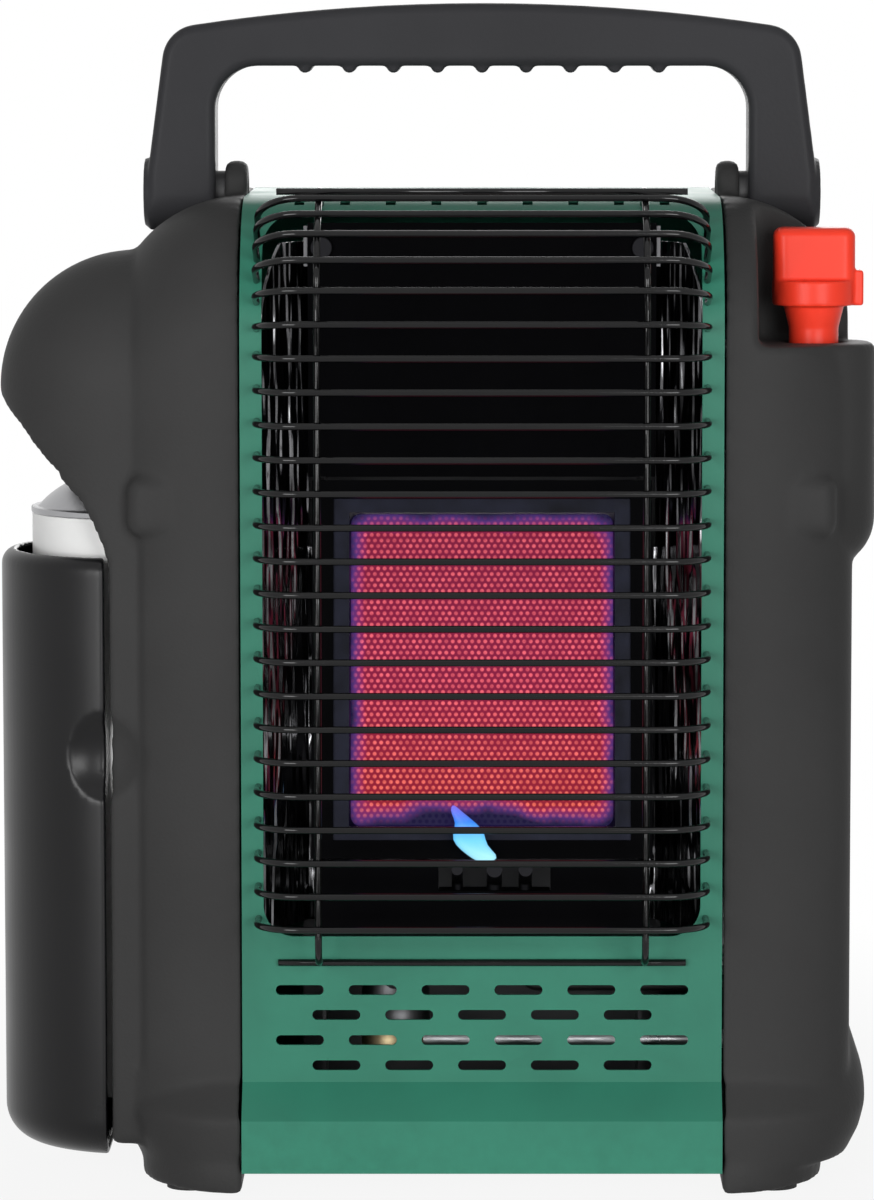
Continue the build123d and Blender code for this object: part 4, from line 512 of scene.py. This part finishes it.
# ------------------------------------------------------------------ settings
class HeaterSettings(bpy.types.PropertyGroup):
    """Colours and sizes a user may change."""
    housing_colour: FloatVectorProperty(
        name="Housing", description="Colour of the moulded cheeks",
        subtype="COLOR", size=3, min=0, max=1, default=(0.0436, 0.0433, 0.0433))
    cover_colour: FloatVectorProperty(
        name="Cover", description="Colour of the cartridge cover",
        subtype="COLOR", size=3, min=0, max=1, default=(0.0012, 0.0011, 0.0016))
    handle_colour: FloatVectorProperty(
        name="Handle", description="Colour of the carry handle",
        subtype="COLOR", size=3, min=0, max=1, default=(0.036, 0.036, 0.039))
    knob_colour: FloatVectorProperty(
        name="Knob", description="Colour of the control knob",
        subtype="COLOR", size=3, min=0, max=1, default=(1.0, 0.050, 0.022))
    panel_colour: FloatVectorProperty(
        name="Panel", description="Enamel of the steel casing",
        subtype="COLOR", size=3, min=0, max=1, default=(0.0236, 0.176, 0.114))
    enamel_colour: FloatVectorProperty(
        name="Black enamel", description="Enamel behind the guard",
        subtype="COLOR", size=3, min=0, max=1, default=(0.0022, 0.0022, 0.0026))
    glow_colour: FloatVectorProperty(
        name="Glow", description="Glow of the tile between its holes",
        subtype="COLOR", size=3, min=0, max=1, default=(0.24, 0.004, 0.040))
    hole_colour: FloatVectorProperty(
        name="Hole glow", description="Glow of the tile's holes",
        subtype="COLOR", size=3, min=0, max=1, default=(1.0, 0.15, 0.20))
    rim_colour: FloatVectorProperty(
        name="Rim glow", description="Cooler rim of the glow",
        subtype="COLOR", size=3, min=0, max=1, default=(0.035, 0.020, 0.16))
    glow_strength: FloatProperty(
        name="Glow strength", description="Brightness of the tile",
        min=0, max=20, default=1.0)
    flame_strength: FloatProperty(
        name="Flame strength", description="Brightness of the pilot flame",
        min=0, max=20, default=1.2)
    glow_width: FloatProperty(
        name="Glow width", description="Width of the glowing field",
        subtype="DISTANCE", unit="LENGTH", min=0.01, max=0.2, default=0.0865)
    glow_height: FloatProperty(
        name="Glow height", description="Height of the glowing field",
        subtype="DISTANCE", unit="LENGTH", min=0.01, max=0.2, default=0.1020)
    glow_shift: FloatProperty(
        name="Glow shift", description="Glowing field's middle beside the tile's",
        subtype="DISTANCE", unit="LENGTH", min=-0.02, max=0.02, default=0.0)
    hole_pitch: FloatProperty(
        name="Hole pitch", description="Distance between burner holes",
        subtype="DISTANCE", unit="LENGTH", min=0.001, max=0.01, default=0.0021)
    skin_voxel: FloatProperty(
        name="Skin", description="Mesh size of the softened mouldings",
        subtype="DISTANCE", unit="LENGTH", min=0.001, max=0.01, default=0.0016)
    skin_rounds: IntProperty(
        name="Blending", description="How far creases of the mouldings are blended",
        min=0, max=40, default=8)
    sheet_edge: FloatProperty(
        name="Sheet edge", description="Rounding of folded steel",
        subtype="DISTANCE", unit="LENGTH", min=0.0001, max=0.002, default=0.0004)


# ------------------------------------------------------------------ operators
class HEATER_OT_finishes(bpy.types.Operator):
    """Make the finishes that the pieces share"""
    bl_idname = "heater.finishes"
    bl_label = "Finishes"

    def execute(self, context):
        settings = settings_of(context)
        for build in (grain_group, wear_and_highlight_group, smudge_group, holes_group):
            build()
        moulded_plastic("Housing Plastic", settings.housing_colour, rough=0.52, specular=0.06)
        moulded_plastic("Cover Plastic", settings.cover_colour, rough=0.30, relief=0.03,
                        specular=0.28)
        moulded_plastic("Handle Plastic", settings.handle_colour, rough=0.42, relief=0.12,
                        specular=0.07)
        moulded_plastic("Knob Plastic", settings.knob_colour, rough=0.38, relief=0.03, wear_and_highlight=1.15,
                        specular=0.25)
        moulded_plastic("Black Moulding", (0.02, 0.02, 0.021), rough=0.5)
        moulded_plastic("Pad Rubber", (0.012, 0.012, 0.012), rough=0.8, pebble=1400.0)
        moulded_plastic("Lead Insulation", (0.01, 0.01, 0.01), rough=0.45, relief=0.02)
        moulded_plastic("Fibre Gasket", (0.62, 0.60, 0.55), rough=0.95, pebble=500.0, relief=0.9,
                        wear_and_highlight=1.0)
        enamel("Green Enamel", settings.panel_colour, rough=0.42, ripple=0.05, specular=0.3)
        enamel("Black Enamel", settings.enamel_colour, rough=0.36, ripple=0.10, specular=0.006)
        enamel("Burner Enamel", (0.008, 0.009, 0.018), rough=0.34, specular=0.09, tone=0.6,
               scale=90.0)
        enamel("Guard Wire", settings.enamel_colour, rough=0.10, specular=0.28)
        enamel("White Enamel", (0.95, 0.95, 0.94), rough=0.3, tone=0.03)
        polished_reflector("Tinted Reflector", (0.22, 0.22, 0.23), rough=0.09, relief=0.9)
        bare_metal("Sooty Steel", (0.016, 0.016, 0.018), rough=0.55)
        # inner sheet steel is darkened as painted shade, so that the inside of the casing reads
        # black through the louvres
        bare_metal("Sheet Steel In Painted Shade", (0.11, 0.11, 0.115), rough=0.42)
        bare_metal("Can Steel", (0.36, 0.36, 0.37), rough=0.30)
        bare_metal("Bright Steel", (0.72, 0.72, 0.72), rough=0.2)
        bare_metal("Die Cast", (0.50, 0.50, 0.51), rough=0.5)
        bare_metal("Turned Brass", (0.30, 0.24, 0.14), rough=0.45)
        bare_metal("Drawn Aluminium", (0.66, 0.67, 0.69), rough=0.32)
        glowing_tile("Glowing Tile", settings)
        flame_material("Pilot Flame", settings)
        return {"FINISHED"}


class HEATER_OT_cheeks(bpy.types.Operator):
    """Soften both moulded cheeks"""
    bl_idname = "heater.cheeks"
    bl_label = "Cheeks"

    def execute(self, context):
        settings = settings_of(context)
        for side in ("left", "right"):
            softened(f"{side}_housing", f"{side}_cheek", "Housing Plastic",
                     settings.skin_voxel, settings.skin_rounds)
        return {"FINISHED"}


class HEATER_OT_casing(bpy.types.Operator):
    """Round the folded steel of the front and the back, and the back's screws"""
    bl_idname = "heater.casing"
    bl_label = "Steel casing"

    def execute(self, context):
        edge = settings_of(context).sheet_edge
        bevelled("front_panel", "front_sheet", "Green Enamel", edge)
        bevelled("back_cover", "back_sheet", "Green Enamel", edge)
        bevelled("back_screws", "back_screw_heads", "Can Steel", edge)
        return {"FINISHED"}


class HEATER_OT_guard(bpy.types.Operator):
    """Round the wires of the guard"""
    bl_idname = "heater.guard"
    bl_label = "Wire guard"

    def execute(self, context):
        guard = merged_copy("wire_guard", "guard_wires")
        apply_modifier(guard, "DISPLACE", strength=WIRE_COAT, mid_level=0.0)
        finish_piece(guard, "wire_guard", "Guard Wire", angle=50.0)
        return {"FINISHED"}


class HEATER_OT_burner(bpy.types.Operator):
    """Give the burner its frame, reflectors and glowing tile"""
    bl_idname = "heater.burner"
    bl_label = "Burner"

    def execute(self, context):
        edge = settings_of(context).sheet_edge
        for solid, name, finish in (
                ("burner_surround", "burner_frame", "Black Enamel"),
                ("upper_deflector", "deflector_sheet", "Black Enamel"),
                ("lower_apron", "apron_sheet", "Black Enamel"),
                ("reflector_left", "left_reflector_sheet", "Tinted Reflector"),
                ("reflector_right", "right_reflector_sheet", "Tinted Reflector")):
            bevelled(solid, name, finish, edge * THIN_SHEET)
        bevelled("ceramic_tile", "glowing_tile", "Glowing Tile", edge)
        bevelled("deflector_screws", "deflector_screw_heads", "Sooty Steel", edge)
        return {"FINISHED"}


class HEATER_OT_handle(bpy.types.Operator):
    """Round the carry handle"""
    bl_idname = "heater.handle"
    bl_label = "Carry handle"

    def execute(self, context):
        softened("carry_handle", "grip", "Handle Plastic", *HANDLE_SKIN)
        return {"FINISHED"}


class HEATER_OT_knob(bpy.types.Operator):
    """Round the control knob, and give its spring a finish and a mesh of its own"""
    bl_idname = "heater.knob"
    bl_label = "Control knob"

    def execute(self, context):
        softened("control_knob", "knob", "Knob Plastic", *KNOB_SKIN)
        spring = finish_piece(merged_copy("knob_spring", "return_spring"), "knob_spring",
                              "Bright Steel", angle=60.0)
        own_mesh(spring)
        return {"FINISHED"}


class HEATER_OT_cartridge(bpy.types.Operator):
    """Dress the gas cartridge and its cover"""
    bl_idname = "heater.cartridge"
    bl_label = "Cartridge and cover"

    def execute(self, context):
        edge = settings_of(context).sheet_edge
        bevelled("cartridge_body", "cartridge_can", "White Enamel", edge)
        bevelled("cartridge_dome", "cartridge_shoulder", "Can Steel", edge)
        softened("cartridge_cover", "cover_shell", "Cover Plastic", *COVER_SKIN)
        return {"FINISHED"}


class HEATER_OT_works(bpy.types.Operator):
    """Give the pieces inside, the pins and the pads their finishes"""
    bl_idname = "heater.works"
    bl_label = "Works"

    finishes = {
        # the inner parts take the darkened steel: painted shade inside the casing
        "Sheet Steel In Painted Shade": ("base_tray", "burner_brackets", "mixer_tube", "heat_shield",
                        "regulator_bracket", "valve_bracket"),
        "Burner Enamel": ("burner_housing",),
        "Black Enamel": ("pilot_bracket",),
        "Sooty Steel": ("pilot_burner", "thermocouple", "spark_electrode"),
        "Bright Steel": ("cover_hinge_pins", "handle_pivot_pins", "stem_collar"),
        "Die Cast": ("regulator_body", "regulator_cap", "control_valve"),
        "Turned Brass": ("gas_jet", "cartridge_valve", "valve_stem"),
        "Drawn Aluminium": ("supply_pipe", "burner_pipe", "pilot_pipe", "thermocouple_lead"),
        "Black Moulding": ("handle_washers", "tip_over_switch", "piezo_igniter"),
        "Pad Rubber": ("foot_pads", "inlet_seal"),
        "Lead Insulation": ("ignition_lead", "switch_lead"),
        "Fibre Gasket": ("tile_gasket",),
    }

    def execute(self, context):
        for name, solids in self.finishes.items():
            for solid in solids:
                mesh = NODES[solid].data
                mesh.materials.clear()
                mesh.materials.append(bpy.data.materials[name])
        return {"FINISHED"}


class HEATER_OT_flame(bpy.types.Operator):
    """Model the pilot flame"""
    bl_idname = "heater.flame"
    bl_label = "Pilot flame"

    def execute(self, context):
        deselect()
        bpy.ops.mesh.primitive_uv_sphere_add(segments=24, ring_count=16, radius=1.0)
        flame = context.object
        flame.name = "pilot_flame"
        flame.data.name = "pilot_flame"
        mesh = bmesh.new()
        mesh.from_mesh(flame.data)
        for vertex in mesh.verts:
            along = (vertex.co.z + 1) / 2
            curl = 1 + FLAME_CURL * math.sin(along * 9 + vertex.co.x * 2)
            wide = FLAME_RADIUS * (1 - FLAME_TAPER * along) * curl
            flat = Vector((vertex.co.x * wide, vertex.co.y * wide / 2, 0.0))
            vertex.co = FLAME_FOOT.lerp(FLAME_TIP, along) + flat
        mesh.to_mesh(flame.data)
        mesh.free()
        only(flame)
        edit_all(bpy.ops.mesh.normals_make_consistent, inside=False)
        bpy.ops.object.shade_smooth()
        flame.data.materials.append(bpy.data.materials["Pilot Flame"])
        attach(flame, "casing")
        return {"FINISHED"}


class HEATER_OT_stage(bpy.types.Operator):
    """Set the floor, the light and the camera"""
    bl_idname = "heater.stage"
    bl_label = "Stage"

    def execute(self, context):
        scene = context.scene
        deselect()
        bpy.ops.mesh.primitive_plane_add(size=12.0, location=(0, 0, FLOOR_DEPTH))
        floor = context.object
        floor.name = "floor"
        bpy.ops.object.transform_apply(location=True)
        self.floor_material()
        floor.data.materials.append(bpy.data.materials["Studio Floor"])
        for lamp in LAMPS:
            self.light(*lamp)
        self.world(scene)
        self.camera(scene)
        scene.view_settings.view_transform = "Standard"
        return {"FINISHED"}

    def white_rays(self, tree):
        """Rays that see the room white: the camera's, and those that mirrors and glass send on."""
        ray = node(tree, "ShaderNodeLightPath")
        bent = math_node(tree, "MAXIMUM", ray.outputs["Is Glossy Ray"],
                         ray.outputs["Is Transmission Ray"])
        return math_node(tree, "MAXIMUM", ray.outputs["Is Camera Ray"], bent)

    def floor_material(self):
        """White to the camera, with the object's shadow kept."""
        tree, shader = blank("Studio Floor")
        shader.inputs["Base Color"].default_value = (FLOOR_TONE, FLOOR_TONE, FLOOR_TONE, 1.0)
        shader.inputs["Roughness"].default_value = 0.9
        reach = node(tree, "ShaderNodeVectorMath", operation="LENGTH")
        tree.links.new(place_on(tree), reach.inputs[0])
        fade = spread(tree, reach.outputs["Value"], *FLOOR_FADE, *FADE_REACH)
        glow = node(tree, "ShaderNodeEmission")
        glow.inputs["Color"].default_value = (*WHITE, 1.0)
        glow.inputs["Strength"].default_value = 1.0
        mix = node(tree, "ShaderNodeMixShader")
        tree.links.new(math_node(tree, "MULTIPLY", self.white_rays(tree), fade), mix.inputs[0])
        tree.links.new(shader.outputs[0], mix.inputs[1])
        tree.links.new(glow.outputs[0], mix.inputs[2])
        tree.links.new(mix.outputs[0], tree.nodes["Material Output"].inputs["Surface"])

    def light(self, name, place, target, size, power):
        """Square softbox that looks at the heater."""
        softbox = bpy.data.lights.new(name, "AREA")
        softbox.shape = "SQUARE"
        softbox.size = size
        softbox.energy = power
        lamp = bpy.data.objects.new(name, softbox)
        bpy.context.scene.collection.objects.link(lamp)
        lamp.location = place
        aim = Vector(target) - Vector(place)
        lamp.rotation_euler = aim.to_track_quat("-Z", "Y").to_euler()

    def world(self, scene):
        """Pale room, white where the camera sees it."""
        world = bpy.data.worlds.new("Studio")
        scene.world = world
        world.use_nodes = True
        tree = world.node_tree
        room = tree.nodes["Background"]
        seen = node(tree, "ShaderNodeBackground")
        for background, strength in ((room, ROOM_LIGHT), (seen, 1.0)):
            background.inputs["Color"].default_value = (*WHITE, 1.0)
            background.inputs["Strength"].default_value = strength
        mix = node(tree, "ShaderNodeMixShader")
        tree.links.new(self.white_rays(tree), mix.inputs[0])
        tree.links.new(room.outputs[0], mix.inputs[1])
        tree.links.new(seen.outputs[0], mix.inputs[2])
        tree.links.new(mix.outputs[0], tree.nodes["World Output"].inputs["Surface"])

    def camera(self, scene):
        """Long lens, a little above the heater, aimed at the casing's middle."""
        target = Vector((CASING_X, PANEL_Y, 0.1918))
        rise = math.radians(6.0)
        distance = 1.823
        lens = bpy.data.cameras.new("camera")
        lens.lens = 171.6
        lens.shift_x = -0.0375
        lens.clip_end = 50.0
        camera = bpy.data.objects.new("camera", lens)
        scene.collection.objects.link(camera)
        back = Vector((0, -math.cos(rise), math.sin(rise)))
        camera.location = target + back * distance
        camera.rotation_euler = (-back).to_track_quat("-Z", "Y").to_euler()
        scene.camera = camera


class HEATER_PT_panel(bpy.types.Panel):
    """Heater settings and the steps that dress it"""
    bl_idname = "HEATER_PT_panel"
    bl_label = "Heater"
    bl_space_type = "VIEW_3D"
    bl_region_type = "UI"
    bl_category = "Heater"

    def draw(self, context):
        settings = settings_of(context)
        for key in HeaterSettings.__annotations__:
            self.layout.prop(settings, key)
        for step in STEPS:
            self.layout.operator(step.bl_idname)


STEPS = (HEATER_OT_finishes, HEATER_OT_cheeks, HEATER_OT_casing, HEATER_OT_guard, HEATER_OT_burner,
         HEATER_OT_handle, HEATER_OT_knob, HEATER_OT_cartridge, HEATER_OT_works, HEATER_OT_flame,
         HEATER_OT_stage)
CLASSES = (HeaterSettings, *STEPS, HEATER_PT_panel)


def register():
    """Register the classes and put the settings on the scene."""
    for kind in CLASSES:
        bpy.utils.register_class(kind)
    bpy.types.Scene.heater = PointerProperty(type=HeaterSettings)


def unregister():
    """Undo register."""
    del bpy.types.Scene.heater
    for kind in reversed(CLASSES):
        bpy.utils.unregister_class(kind)


def main():
    """Dress the heater in order."""
    register()
    for step in STEPS:
        family, name = step.bl_idname.split(".")
        getattr(getattr(bpy.ops, family), name)()


if __name__ == "__main__":
    main()
